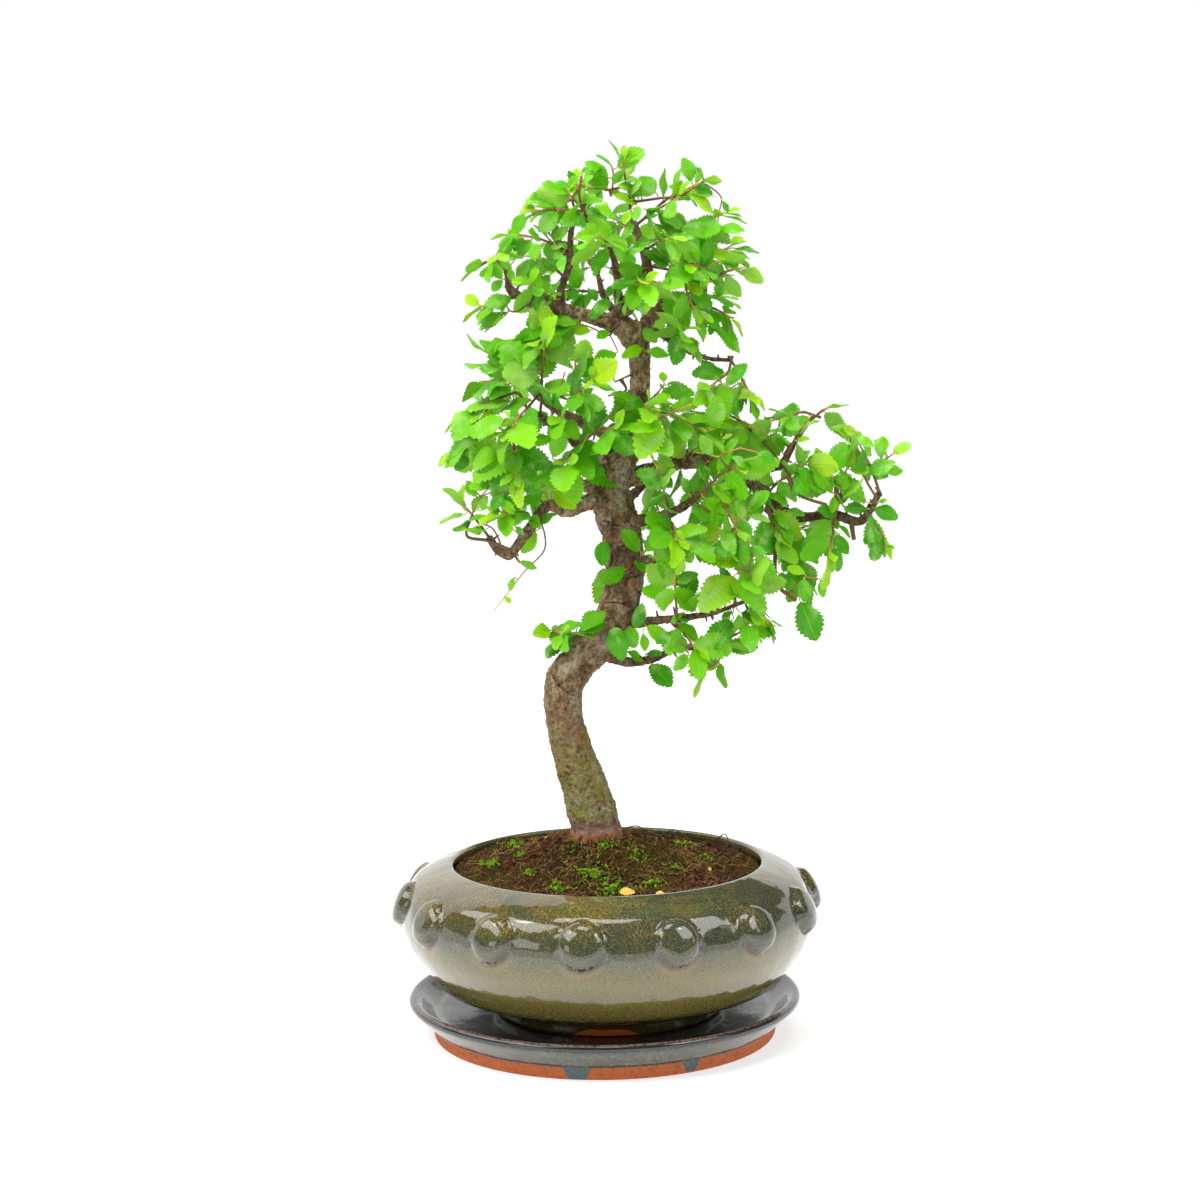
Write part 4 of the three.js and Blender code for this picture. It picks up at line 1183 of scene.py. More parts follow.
# Twigs: the pixels they pass, how far they come forward in millimetres, and the radius at the root and at the
# tip
seen_twigs = [
    ([(876, 496), (863, 474), (850, 439)], 4, 0.8, 0.4),
    ([(785, 469), (788, 454), (803, 427), (812, 415)], 8, 0.7, 0.35),
    ([(784, 454), (764, 432), (745, 425)], 4, 0.35, 0.2),
    ([(837, 496), (837.5, 481)], 2, 1.7, 1.3),
    ([(852, 526), (854, 540)], 2, 1.6, 1.0),
    ([(876, 543), (887, 553)], 1, 0.45, 0.3),
    ([(640, 201), (661, 198), (680, 195.5), (702, 182)], 8, 0.75, 0.4),
    ([(680, 195.5), (701, 195), (717, 197)], 4, 0.3, 0.15),
    ([(702, 182), (721, 197), (719, 213), (717, 230)], 2, 0.4, 0.3),
    ([(611, 196), (613, 172), (610, 163)], 5, 0.5, 0.3),
    ([(619, 240), (631, 210)], 4, 0.5, 0.3),
    ([(589, 223), (585, 213), (579.5, 196), (581.5, 176)], 3, 1.1, 0.6),
    ([(565, 255), (552, 237), (546, 231)], 5, 0.7, 0.35),
    ([(549, 233), (557, 223)], 2, 0.35, 0.25),
    ([(508, 276), (506, 269), (497, 258)], 3, 0.6, 0.3),
    ([(507, 271), (517, 256)], 3, 0.4, 0.25),
    ([(528, 304), (518, 311), (510, 311), (505, 302)], 3, 0.55, 0.35),
    ([(546, 306), (553, 301), (560, 299)], 4, 0.5, 0.4),
    ([(612, 269), (598, 263)], 3, 0.4, 0.25),
    ([(610, 335), (587, 326), (568, 324)], 8, 0.5, 0.3),
    ([(540, 522), (545, 548), (524, 572), (494, 611)], 3, 0.5, 0.25),
    ([(513, 551), (489, 541), (467, 536), (471, 517), (481, 497)], 4, 1.0, 0.35),
    ([(512, 552), (520, 563)], 2, 0.9, 0.5),
    ([(500, 543), (492, 528), (483, 524)], 4, 0.6, 0.3),
    ([(769, 508), (773, 530), (775, 548), (777, 584), (796, 601)], 12, 1.5, 0.8),
    ([(790, 592), (806, 577)], 3, 0.45, 0.3),
    ([(793, 592), (801, 597)], 2, 0.4, 0.3),
    ([(710, 548), (721, 529)], 5, 0.5, 0.3),
    ([(686, 648), (678, 641)], 3, 1.0, 0.6),
    ([(661, 588), (674, 592)], 3, 0.45, 0.25),
    ([(699, 505), (732, 526)], 7, 0.55, 0.35),
    ([(655, 418), (676, 411), (692, 404)], 9, 0.5, 0.35),
    ([(723, 409), (730, 390), (740, 382)], 7, 0.5, 0.3),
    ([(690, 453), (702, 445)], 5, 0.6, 0.4),
    ([(699, 468), (709, 461)], 5, 0.5, 0.3),
    ([(720, 456), (740, 448)], 6, 0.5, 0.35),
    ([(723, 433), (732, 426)], 5, 0.5, 0.35),
    ([(759, 504), (787, 529)], 6, 0.7, 0.4),
    ([(798, 494), (827, 505)], 3, 1.0, 0.7),
    ([(631, 375), (615, 382)], 4, 0.7, 0.4),
    ([(626, 390), (608, 396)], 4, 0.8, 0.4),
    ([(487, 412), (481, 395)], 4, 0.5, 0.35),
    ([(535, 386), (508, 369)], 6, 0.6, 0.4),
    ([(560, 395), (565, 372)], 5, 0.6, 0.4),
]

# Leaves: pixel of the base, pixel of the tip, how openly the face shows, and the tip's way forward in
# millimetres
seen_leaves = [
    (615, 169, 641, 148, 1.0, 1), (611, 165, 598, 153, 0.4, 1), (614, 182, 639, 176, 0.35, 3),
    (640, 190, 619, 183, 0.6, 2), (657, 194, 642, 176, 0.6, 2), (682, 190, 670, 185, 0.9, 1),
    (692, 183, 686, 158, 1.0, 1), (705, 184, 699.5, 166, 0.2, 1), (718, 218, 695, 193, 0.35, 3),
    (722, 200, 729, 211, 0.6, 1), (717, 230, 743, 226, 0.7, 3), (713, 231, 685, 230, 1.0, 6),
    (676, 265, 715, 261, 0.5, 6), (717, 261, 744, 270, 0.25, 3), (733, 248, 759, 251, 0.2, 0),
    (646, 268, 612, 273, 0.8, 6), (646, 272, 632, 289, 0.8, 5), (658, 284, 683, 283, 0.9, 4),
    (671, 266, 646, 252, 0.7, 5), (717, 297, 723, 281, 0.6, 2), (712, 325, 741, 348, 0.3, 3),
    (693, 355, 721, 378, 0.25, 3), (706, 303, 700, 329, 0.7, 3), (580, 291, 569, 262, 1.0, 4),
    (586, 213, 614, 240, 0.9, 5), (557, 262, 518, 279, 0.3, 3), (552, 273, 530, 299, 0.6, 3),
    (592, 330, 566, 330, 0.9, 3), (546, 333, 548, 307, 0.5, 3), (565, 202, 532, 200, 0.9, 3),
    (574, 184, 548, 186, 0.4, 2), (526, 212, 513, 233, 0.9, 1), (502, 271, 480, 272, 0.9, 2),
    (503, 279, 492, 290, 0.9, 1), (514, 299, 485, 301, 0.7, 3), (644, 348, 622, 353, 0.9, 4),
    (645, 351, 667, 353, 0.9, 4), (613, 377, 584, 381, 0.8, 4), (618, 352, 592, 362, 0.8, 4),
    (724, 386, 746, 366, 0.9, 3), (727, 393, 755, 395, 0.6, 3), (505, 386, 500, 339, 0.6, 0),
    (536, 388, 508, 341, 0.8, 4), (514, 400, 468, 404, 0.25, 3), (507, 418, 470, 432, 0.6, 3),
    (482, 436, 444, 455, 0.6, 1), (519, 449, 472, 474, 0.7, 4), (540, 425, 506, 440, 1.0, 4),
    (468, 455, 456, 470, 0.8, 1), (493, 482, 470, 486, 0.9, 3), (628, 484, 583, 466, 0.8, 8),
    (666, 489, 641, 471, 0.9, 7), (686, 459, 665, 433, 0.9, 6), (658, 412, 637, 454, 0.8, 8),
    (632, 421, 618, 393, 0.9, 7), (711, 431, 720, 398, 0.9, 5), (707, 460, 744, 478, 0.9, 6),
    (695, 453, 717, 434, 0.8, 5), (802, 428, 781, 419, 1.0, 2), (796, 441, 809, 438, 0.6, 1),
    (804, 426, 819, 420, 0.3, 1), (850, 439, 833, 427, 0.5, 2), (851, 438, 874, 443, 0.8, 2),
    (866, 474, 893, 461, 0.9, 2), (832, 475, 845, 444, 1.0, 2), (820, 465, 818, 449, 0.8, 2),
    (831, 493, 795, 466, 0.8, 5), (834, 495, 834, 512, 1.0, 3), (869, 503, 836, 479, 0.8, 4),
    (869, 509, 847, 506, 0.8, 4), (872, 507, 897, 517, 0.9, 3), (872, 513, 874, 552, 1.0, 4),
    (832, 526, 820, 535, 0.9, 2), (783, 506, 780, 487, 0.9, 4), (791, 537, 763, 532, 0.8, 5),
    (746, 512, 766, 492, 0.8, 4), (799, 598, 816, 639, 0.8, 3), (804, 577, 806, 601, 0.4, 2),
    (737, 573, 704, 610, 1.0, 6), (738, 570, 763, 612, 0.9, 6), (734, 618, 706, 648, 0.9, 5),
    (747, 622, 751, 651, 1.0, 4), (649, 662, 671, 685, 0.9, 3), (689, 654, 674, 669, 1.0, 3),
    (700, 654, 699, 675, 1.0, 2), (697, 613, 678, 588, 0.9, 4), (645, 625, 668, 640, 0.7, 5),
    (676, 632, 657, 642, 0.7, 4), (613, 624, 622, 659, 1.0, 3), (634, 630, 644, 607, 0.9, 4),
    (607, 622, 582, 631, 0.9, 4), (582, 633, 546, 654, 0.3, 3), (628, 568, 601, 580, 0.7, 5),
    (641, 552, 624, 532, 0.9, 7), (742, 540, 716, 553, 0.8, 5), (720, 527, 735, 552, 0.8, 5),
    (537, 530, 523, 552, 0.8, 2), (514, 577, 509, 590, 0.8, 1), (505, 596, 510, 603, 0.9, 1),
    (650, 437, 672, 452, 0.8, 7), (690, 505, 716, 520, 0.8, 6), (775, 545, 798, 560, 0.8, 4),
    (798, 560, 815, 585, 0.8, 4), (609, 178, 588, 160.5, 0.6, 2), (609, 190, 588, 166.5, 0.6, 1),
    (638, 197, 654, 189.5, 0.5, 1), (612, 194, 637, 200, 0.6, 2), (658, 208, 671, 227, 0.8, 3),
    (671, 211, 684, 226, 0.8, 2), (659, 208, 646, 214.5, 0.5, 2), (618, 220, 598, 203, 0.6, 2),
    (630, 210, 624, 223, 0.7, 3), (639, 206, 636, 220, 0.7, 3), (622, 240, 632, 226, 0.8, 3),
    (652, 222, 683, 239, 0.35, 4), (611, 246, 634, 260, 0.8, 4), (684, 270, 706, 279, 0.7, 4),
    (688, 279, 701, 294, 0.7, 3), (706, 274, 719, 273, 0.25, 2), (717, 246, 707, 238, 0.7, 3),
    (580, 176, 567, 184, 0.8, 2), (582, 184, 591, 175, 0.6, 2), (575, 208, 593, 194, 0.4, 3),
    (582, 203, 602, 199, 0.4, 2), (560, 205, 549, 225, 0.9, 3), (518, 252, 512, 239, 0.9, 1),
    (512, 282, 510, 270, 0.8, 2), (515, 284, 526, 259, 0.3, 1), (556, 297, 534, 304, 0.5, 3),
    (519, 301, 517, 309, 0.7, 1), (509, 311, 478, 323, 0.5, 2), (505, 316, 483, 330, 0.3, 2),
    (543, 314, 526, 323, 0.8, 2), (551, 322, 575, 321, 0.5, 3), (548, 327, 517, 341, 0.4, 3),
    (610, 330, 598, 338, 0.8, 3), (570, 226, 553, 238, 0.8, 1), (566, 242, 552, 247, 0.7, 1),
    (565, 250, 553, 258, 0.8, 1), (582, 214, 580, 225, 0.8, 3), (578, 240, 586, 252, 0.8, 2),
    (606, 298, 614, 284, 0.8, 2), (612, 299, 591, 315, 0.6, 4), (588, 288, 597, 299, 0.8, 3),
    (580, 290, 566, 299, 0.6, 3), (613, 305, 630, 297, 0.3, 3), (648, 302, 646, 311, 0.8, 2),
    (641, 329, 658, 339, 0.9, 4), (606, 609, 583, 630, 0.75, 4), (578, 624, 562, 632, 0.5, 4),
    (572, 636, 546, 653, 0.25, 3), (503, 448, 472, 463, 0.6, 2), (455, 465, 444, 467, 0.3, 1),
    (466, 480, 475, 496, 0.8, 2), (495, 490, 480, 480, 0.8, 1), (481, 511, 487, 498, 0.9, 3),
    (466, 514, 439, 519, 0.25, 2), (490, 515, 469, 520, 0.4, 3), (503, 493, 493, 510, 0.4, 2),
    (499, 500, 515, 511, 0.9, 3), (515, 513, 526, 503, 0.3, 2), (514, 530, 502, 528, 0.5, 2),
    (515, 526, 524, 534, 0.5, 2), (536, 524, 529, 521, 0.7, 2), (537, 526, 554, 513, 0.5, 3),
    (537, 569, 521, 562, 0.8, 1), (552, 459, 561, 434, 0.9, 5), (540, 462, 555, 487, 0.9, 6),
    (521, 480, 517, 500, 0.8, 2), (545, 492, 523, 500, 0.6, 4), (552, 491, 573, 507, 0.9, 6),
    (560, 490, 566, 476, 0.8, 4), (571, 484, 598, 486, 0.5, 6), (605, 538, 599, 564, 0.5, 3),
    (689, 495, 685, 479, 0.8, 6), (712, 487, 742, 486, 0.3, 5), (713, 456, 701, 438, 0.9, 7),
    (752, 470, 735, 456, 0.7, 4), (756, 452, 775, 459, 0.7, 3), (703, 497, 732, 517, 0.7, 5),
    (737, 498, 742, 518, 0.8, 3), (747, 516, 769, 518, 0.5, 3), (774, 514, 790, 526, 0.7, 3),
    (728, 524, 750, 558, 0.5, 6), (673, 525, 692, 560, 0.5, 5), (668, 533, 677, 567, 0.6, 5),
    (643, 552, 667, 534, 0.7, 4), (634, 558, 652, 570, 0.8, 5), (655, 556, 680, 583, 0.7, 5),
    (741, 564, 705, 553, 0.6, 6), (684, 612, 671, 621, 0.7, 3), (677, 622, 699, 641, 0.6, 3),
    (645, 654, 661, 652, 0.7, 4), (643, 661, 630, 652, 0.9, 4), (622, 624, 637, 645, 0.9, 4),
    (643, 632, 646, 650, 0.3, 2), (734, 612, 722, 616, 0.4, 2), (738, 611, 775, 628, 0.25, 2),
    (680, 651, 673, 648, 0.7, 1), (756, 474, 775, 485, 0.7, 4), (776, 480, 797, 499, 0.7, 4),
    (785, 510, 804, 514, 0.4, 4), (795, 463, 809, 452, 0.7, 4), (834, 494, 817, 466, 0.6, 5),
    (840, 492, 846, 476, 0.8, 3), (878, 503, 886, 499, 0.6, 2), (868, 533, 866, 544, 0.7, 2),
    (831, 516, 837, 528, 0.4, 3), (802, 529, 813, 534, 0.5, 2), (815, 534, 808, 542, 0.6, 2),
    (790, 532, 808, 547, 0.7, 3), (787, 540, 800, 560, 0.7, 5), (805, 550, 818, 563, 0.6, 3),
    (820, 579, 825, 596, 0.8, 2), (806, 575, 790, 565, 0.8, 1), (789, 556, 784, 571, 0.6, 2),
    (778, 572, 789, 588, 0.7, 2), (753, 553, 773, 577, 0.5, 4), (752, 545, 765, 552, 0.5, 3),
    (886, 545, 895, 548, 0.4, 1),
]
seen_leaf_gap = 2.0
spur_count = 190
twig_sides = 7


def build_seen(carriers, paints):
    """Single twigs and leaves. Each grows from the stem or twig that shows nearest to its first pixel."""
    rng = random.Random(4)
    twigs = Shell()
    for pixels, forward, first, last in seen_twigs:
        root, radius = carriers.seen_at(pixels[0])
        depths = np.linspace(root[1], root[1] - forward, len(pixels) + 1)[1:]
        points = [root] + [from_photo(px, depth) for px, depth in zip(pixels, depths)]
        if np.linalg.norm(points[1] - root) < radius * 0.8:
            points.pop(1)
        path, place = smooth_path(points, 1.2)
        radii = lerp(first, last, place) * (1 + 0.5 * np.exp(-(place / 0.1) ** 2))
        radii = radii * (1 + 0.16 * np.sin(place * 9 + rng.uniform(0, 6)) * rng.uniform(0, 1))
        points, faces = tube(path, radii, twig_sides)
        young = np.concatenate([np.repeat(place, twig_sides), [0, 1]])
        young = np.clip(young * 0.85 + 0.15 - first * 0.35, 0, 1)
        twigs.add(points, faces, 0, np.stack([young] * 3, 1))
        carriers.add(path, radii)
    for point, radius, outward in spur_places(carriers, rng):
        top = point + outward * (radius + rng.uniform(1.2, 4.0)) + UP * rng.uniform(-0.6, 1.4)
        path, place = smooth_path([point, lerp(point, top, 0.6), top], 0.8)
        twigs.add(*tube(path, lerp(0.75, 0.35, place), 6), kind=0, marks=[0, 0, rng.choice((0.0, 0.2, 0.4))])
    piece("fine_twigs", twigs.mesh("fine_twigs"), paints[2:])
    leaves = Shell()
    for x, y, tip_x, tip_y, openness, forward in seen_leaves:
        root, radius = carriers.seen_at((x, y))
        depth = root[1] - radius - seen_leaf_gap * rng.uniform(0.3, 1.0)
        base, end = from_photo((x, y), depth), from_photo((tip_x, tip_y), depth - forward)
        ahead = unit(end - base)
        facing = sunny_side * openness + UP * (1.15 - openness * 0.7)
        facing = facing + rng.uniform(-0.35, 0.35) * np.array([1.0, 0, 0])
        normal = unit(facing - ahead * np.dot(facing, ahead))
        age = float(np.clip(rng.gauss(0.55, 0.3), 0, 1))
        add_leaf(leaves, {"base": base, "foot": root, "forward": ahead, "normal": normal,
                          "length": np.linalg.norm(end - base), "age": age}, rng)
    piece("leafy_front", leaves.mesh("leafy_front"), paints, sharp=60)


def spur_places(carriers, rng):
    """Places on the limbs for short spurs and buds."""
    count = len(carriers.limb_points)
    for _ in range(spur_count):
        k = rng.randrange(count)
        point, radius, along = carriers.limb_points[k]
        outward = unit(np.cross(along, [rng.uniform(-1, 1), rng.uniform(-1, 1), rng.uniform(-1, 1)]))
        yield point, radius, outward


# Pot

glaze_ior = 1.6
coat_ior = 1.5
pot_x = 2.1
pot_floor = 27.0
boss_count = 14
boss_ring = 97.7
boss_height = 67.2
boss_radius = 11.0
boss_proud = 5.9
boss_square = 2.5
boss_turn = -7.2
boss_tilt = 0.42
boss_crowding = 0.025

pot_outline = [
    (54, 12.5), (55.2, 13.2), (55.8, 18.2), (57.6, 19.9), (68, 22), (78, 25.2), (83.8, 28.3), (88, 33),
    (93.3, 40), (98.9, 50), (100.6, 60), (98.1, 70), (93.9, 77.2), (88, 81), (81.7, 83.6), (77.2, 85.0),
]
pot_lip = [(76.1, 85.2), (75.2, 84.9), (74.8, 84.1), (74.9, 81.5)]
pot_inside = [(78, 76), (88, 67), (93, 57), (92, 46), (84, 35), (66, 27.6)]


pot_sides = 400
pot_foot = pot_outline[0][1]
groove_depth = 0.25


def build_pot(glaze):
    """The pot, turned, with its bosses pushed out of the wall and a fine groove round each."""
    outer = rounded(pot_outline, 1.1)
    inner = rounded([pot_lip[-1]] + pot_inside, 4.0)
    profile = np.vstack([[[0, pot_foot], [30, pot_foot]], outer, pot_lip[:-1], inner,
                         [[30, pot_floor], [0, pot_floor]]])
    points, faces = lathe(profile, pot_sides, (pot_x, 0))
    outside = 1 + pot_sides * (1 + len(outer) + len(pot_lip))
    down_the_wall = np.concatenate([[0], np.cumsum(np.linalg.norm(np.diff(profile, axis=0), axis=1))])
    angles = np.arctan2(points[:, 1], points[:, 0] - pot_x)
    angles = angles - boss_crowding * np.sin(boss_count * (angles + math.pi / 2 - math.radians(boss_turn)))
    far = np.hypot(points[:, 0] - pot_x, points[:, 1])
    points[:, 0], points[:, 1] = pot_x + far * np.cos(angles), far * np.sin(angles)
    rows = np.concatenate([down_the_wall[:1], np.repeat(down_the_wall[1:-1], pot_sides), down_the_wall[-1:]])
    flow = np.stack([boss_ring * np.cos(angles), boss_ring * np.sin(angles), rows], 1) * MM
    centre = np.array([pot_x, 0, boss_height])
    marks = np.zeros((len(points), 3))
    for index in range(boss_count):
        angle = math.radians(boss_turn + 360 / boss_count * index - 90)
        out = np.array([math.cos(angle) * math.cos(boss_tilt), math.sin(angle) * math.cos(boss_tilt),
                        math.sin(boss_tilt)])
        seat = centre + boss_ring * np.array([math.cos(angle), math.sin(angle), 0])
        offset = points[:outside] - seat
        depth = offset @ out
        away = np.linalg.norm(offset - depth[:, None] * out, axis=1)
        near = (away < 1.5 * boss_radius) & (np.abs(depth) < 9)
        flat = np.maximum(1 - (away / boss_radius) ** boss_square, 0)
        proud = np.where(near & (away < boss_radius), boss_proud * flat ** (1 / boss_square) - depth, -9)
        groove = groove_depth * near * np.exp(-((away - boss_radius - 0.5) / 0.7) ** 2)
        points[:outside] += (np.maximum(proud, 0) - groove)[:, None] * out
        down = np.clip(-offset[:, 2] / boss_radius, -1, 1)
        # The ring at each boss's edge, where the glaze paint lays painted shade
        ring = near * np.exp(-((away - boss_radius) / 0.8) ** 2)
        pool = near * np.exp(-((away - boss_radius - 2.4) / 1.3) ** 2) * smoothstep(0.6, 1.0, down)
        marks[:outside, 0] = np.maximum(marks[:outside, 0], ring)
        marks[:outside, 1] = np.where(near, down, marks[:outside, 1])
        marks[:outside, 2] = np.maximum(marks[:outside, 2], pool)
    shell = Shell()
    shell.add(points, faces, 0, marks)
    mesh = shell.mesh("glazed_pot")
    add_vectors(mesh, "flow", flow)
    piece("glazed_pot", mesh, [glaze], replaced=["pot"], sharp=50)


# The glaze's bands, partly painted reflection, run from the foot to the shoulder, and clay is bare below a
# line round the foot, in metres
glaze_foot = 0.018
glaze_shoulder = 0.088
pot_clay_line = 0.0128
bare_rise = 0.0034
# Where the clay reaches higher: angle and half width in radians
bare_patches = ((-1.6, 0.36), (0.4, 0.3), (2.5, 0.35))


def pot_paint():
    """Dark olive glaze, thick and glassy, with ochre flecks and blue-green clouds on the shoulder. The clay
    is bare in patches at the foot. Marks hold the rings round the bosses, which carry painted shade, how low
    each point of a boss lies, and the pooled glaze under it. Flow runs round and down the wall."""
    p = Paint("pot_glaze")
    x, y, height = p.parts(p.where)
    ring, down, pool = p.marks()
    flow = p.attribute("flow")
    place = p.span(height + (p.noise(26, 4, 0.6) - 0.5) * 0.012, glaze_foot, glaze_shoulder)
    # Glaze colour by height, partly painted reflection: paler on the lower body for the white floor, darker
    # at the foot for the dark saucer and darker in the band of the bosses for the dim room
    p.base = p.ramp(place, (0.0, 74, 64, 18), (0.14, 92, 82, 32), (0.4, 112, 102, 54), (0.6, 84, 82, 50),
                    (0.7, 62, 66, 48), (0.8, 60, 64, 44), (0.88, 68, 66, 36), (0.94, 70, 62, 30),
                    (1.0, 92, 80, 46))
    turn = p.math("ARCTAN2", y, x - pot_x * MM)
    right = p.span(turn, -1.5, -1.2) * p.span(turn, -0.3, -0.6, 0.0, 0.13)
    blue = p.span(p.noise(34, 3, 0.6) + right, 0.5, 0.6) * p.span(place, 0.66, 0.84)
    p.coat(blue * 0.8, (48, 58, 48))
    fine = p.noise(1300, 3, 0.7, at=flow, stretch=(1.0, 1.0, 0.4))
    rich = p.span(p.noise(30, 3, 0.6, at=flow) - right, 0.4, 0.52, 0.12, 0.95)
    flecks = p.span(fine, 0.5, 0.62) * p.span(place, 0.8, 0.9) * rich
    p.coat(flecks, (142, 118, 46))
    sand = p.noise(2400, 2, 0.6, at=flow)
    p.coat(p.span(sand, 0.5, 0.38, 0.0, 0.6), (30, 36, 24))
    p.coat(p.span(sand, 0.52, 0.64, 0.0, 0.4), (150, 142, 100))
    p.coat(p.span(fine, 0.45, 0.7) * p.span(place, 0.7, 0.5, 0.0, 0.3), (122, 116, 84))
    grains = p.span(p.cells(420), 0.12, 0.05)
    p.coat(grains * 0.5, (40, 30, 18))
    p.coat(pool * 0.3, (152, 124, 78))
    # Painted shade: a dark red-brown ring round each boss, strongest along its lower edge
    boss_edge_shade = ring * p.span(down, 0.0, 0.6, 0.25, 1.0)
    p.coat(boss_edge_shade * 0.9, (54, 18, 12))
    bare = 0.0
    for angle, half in bare_patches:
        bare = p.span(abs(turn - angle), half, half * 0.3).or_more(bare)
    line = bare * bare_rise + pot_clay_line + (p.noise(150, 3) - 0.5) * 0.0016
    clay = p.span(height - line, 0.0003, -0.0003)
    p.coat(clay, p.mix(p.noise(500, 4), (212, 86, 14), (240, 130, 44)))
    ripple = p.noise(42, 2) + p.noise(240, 1) * 0.05
    pits = p.span(p.cells(110), 0.05, 0.02)
    relief = p.bump(ripple - pits * 0.25, 0.0016, 0.6)
    rough = clay * 0.6 + p.span(p.noise(90, 3), 0.3, 0.8, 0.06, 0.16)
    return p.finish(Roughness=rough, Normal=relief, IOR=glaze_ior, Coat_Weight=0.7, Coat_Roughness=0.03,
                    Coat_IOR=coat_ior, Coat_Normal=relief)


# Saucer

saucer_outline = [
    (60, 0.0), (81.0, 0.0), (82.4, 0.1), (83.2, 0.9), (84.2, 6.2), (85.4, 7.4), (88.3, 10.2), (91.4, 13.1),
    (94.0, 15.5), (95.4, 17.1), (95.4, 18.6), (94.4, 19.7), (93.2, 20.05), (91.8, 19.8), (90.4, 19.1),
    (89.3, 18.4), (88.6, 17.7), (86.2, 15.4), (83.2, 13.1), (81.0, 12.55), (76.0, 12.5),
]
saucer_sides = 260
saucer_floor = saucer_outline[-1][1]


def build_saucer(glaze):
    """The saucer, turned."""
    outer = rounded(saucer_outline, 1.0)
    outer[:, 1] = np.maximum(outer[:, 1], 0)
    inner = [[50, saucer_floor], [25, saucer_floor], [0, saucer_floor]]
    points, faces = lathe(np.vstack([[[0, 0], [30, 0]], outer, inner]), saucer_sides)
    angle = np.arctan2(points[:, 1], points[:, 0])
    shell = Shell()
    shell.add(points, faces, 0, np.stack([angle, 0 * angle, 0 * angle], 1))
    mesh = shell.mesh("glazed_saucer")
    piece("glazed_saucer", mesh, [glaze], replaced=["saucer"], sharp=50)


# Distances from the middle and heights, in metres, from which and to which each look of the glaze comes in
# dish_floor: where the brown painted reflection of the pot's foot comes in
dish_floor = (0.078, 0.070)
dish_dull = (0.0815, 0.078)
outer_wall, outer_height = (0.0795, 0.0815), (0.0182, 0.0155)
lip_reach, lip_height = (0.0930, 0.0945), (0.0190, 0.0199)
saucer_clay_line = 0.0062
# Runs of glaze over the clay: angle and half width in radians, and depth in metres
glaze_runs = ((-1.73, 0.09, 0.0062), (-1.075, 0.06, 0.0052), (0.5, 0.07, 0.006), (2.3, 0.06, 0.0045))


def saucer_paint():
    """Blue-black glaze with a brown painted reflection of the pot's foot on the dish's floor, worn brown at
    the lip, grey-green outside, over a raw clay foot with a few runs of glaze. Marks hold the angle round the
    middle."""
    p = Paint("saucer_glaze")
    x, y, height = p.parts(p.where)
    far = p.math("SQRT", x * x + y * y)
    dark = p.mix(p.noise(60, 4, 0.6), (22, 25, 27), (40, 48, 50))
    # brown is a painted reflection of the pot's terracotta foot on the dish's floor
    brown = p.mix(p.noise(140, 4), (22, 19, 14), (42, 35, 24))
    p.base = p.mix(p.span(far, *dish_floor) * 0.7, dark, brown)
    green = p.ramp(p.noise(520, 4, 0.75), (0.36, 5, 6, 4), (0.48, 34, 38, 24), (0.62, 88, 88, 52))
    drift = (p.noise(70, 3) - 0.5) * 0.003
    p.coat(p.span(height + drift, *outer_height) * p.span(far, *outer_wall), green)
    wear = p.span(height, *lip_height) * p.span(far, *lip_reach) * p.span(p.noise(520, 3, 0.6), 0.36, 0.55)
    p.coat(wear * 0.8, (142, 104, 74))
    turn = p.marks()[0]
    runs = 0.0
    for angle, half, depth in glaze_runs:
        runs = (p.span(abs(turn - angle), half, half * 0.4) * depth).or_more(runs)
    line = (p.noise(120, 3) - 0.5) * 0.0016 + saucer_clay_line - runs
    clay = p.span(height - line, 0.0002, -0.0002)
    raw = p.mix(p.noise(600, 4, 0.6), (150, 66, 24), (198, 108, 54))
    raw = p.mix(p.span(p.cells(300), 0.1, 0.04), raw, (84, 44, 28))
    raw = p.mix(p.span(p.noise(260, 5, 0.75), 0.5, 0.66, 0.0, 0.6), raw, (104, 62, 40))
    p.coat(clay, raw)
    glazed = 1.0 - clay
    glassy_run = p.span(height, 0.0066, 0.0056) * glazed
    p.coat(glassy_run * 0.7, (52, 84, 88))
    specks = p.span(p.cells(330), 0.2, 0.1) * p.span(height, 0.0195, 0.0175)
    p.coat(specks * 0.6 * glazed, (20, 12, 6))
    pits = p.span(p.cells(150), 0.09, 0.045)
    p.coat(pits * 0.6, (14, 14, 14))
    relief = p.bump(p.noise(60, 3) - pits * 0.5, 0.0009, 0.5)
    rough = clay * 0.8 + p.span(p.noise(120, 3), 0.3, 0.8, 0.06, 0.16) + p.span(far, *dish_dull) * 0.2
    coated = p.span(clay, 0.0, 1.0, 0.36, 0.0)
    return p.finish(Roughness=rough, Normal=relief, IOR=glaze_ior, Coat_Weight=coated, Coat_Roughness=0.04,
                    Coat_IOR=coat_ior, Coat_Normal=relief)


# Soil

soil_edge = 81.5
mound_height = 13.0
mound_width = 38.0
mound_centre = (-3.0, 16.0)
soil_radius = 74.0
soil_foot = 68.0
soil_sides, soil_rings = 300, 86
crumb_height = 1.7
clod_height = 3.4


def soil_level(x, y):
    """The height of the mound, without its crumbs."""
    away = np.hypot(x - mound_centre[0], y - mound_centre[1])
    waves = 0.8 * np.sin(x * 0.11 + 1) * np.cos(y * 0.13)
    return soil_edge + mound_height * np.exp(-(away / mound_width) ** 2) + waves


def soil_top(x, y):
    """The soil's height with its crumbs."""
    p = Vector((x, y, 0))
    crumbs = noise.fractal(p * 0.16, 0.75, 2.1, 5)
    clods = max(0.0, noise.noise(p * 0.33 + Vector((9, 4, 2)))) ** 1.5
    far = math.hypot(x - pot_x, y)
    calm = 1 - 0.7 * float(smoothstep(soil_radius - 7, soil_radius, far))
    return float(soil_level(x, y)) + calm * (crumb_height * crumbs + clod_height * clods) - 0.5


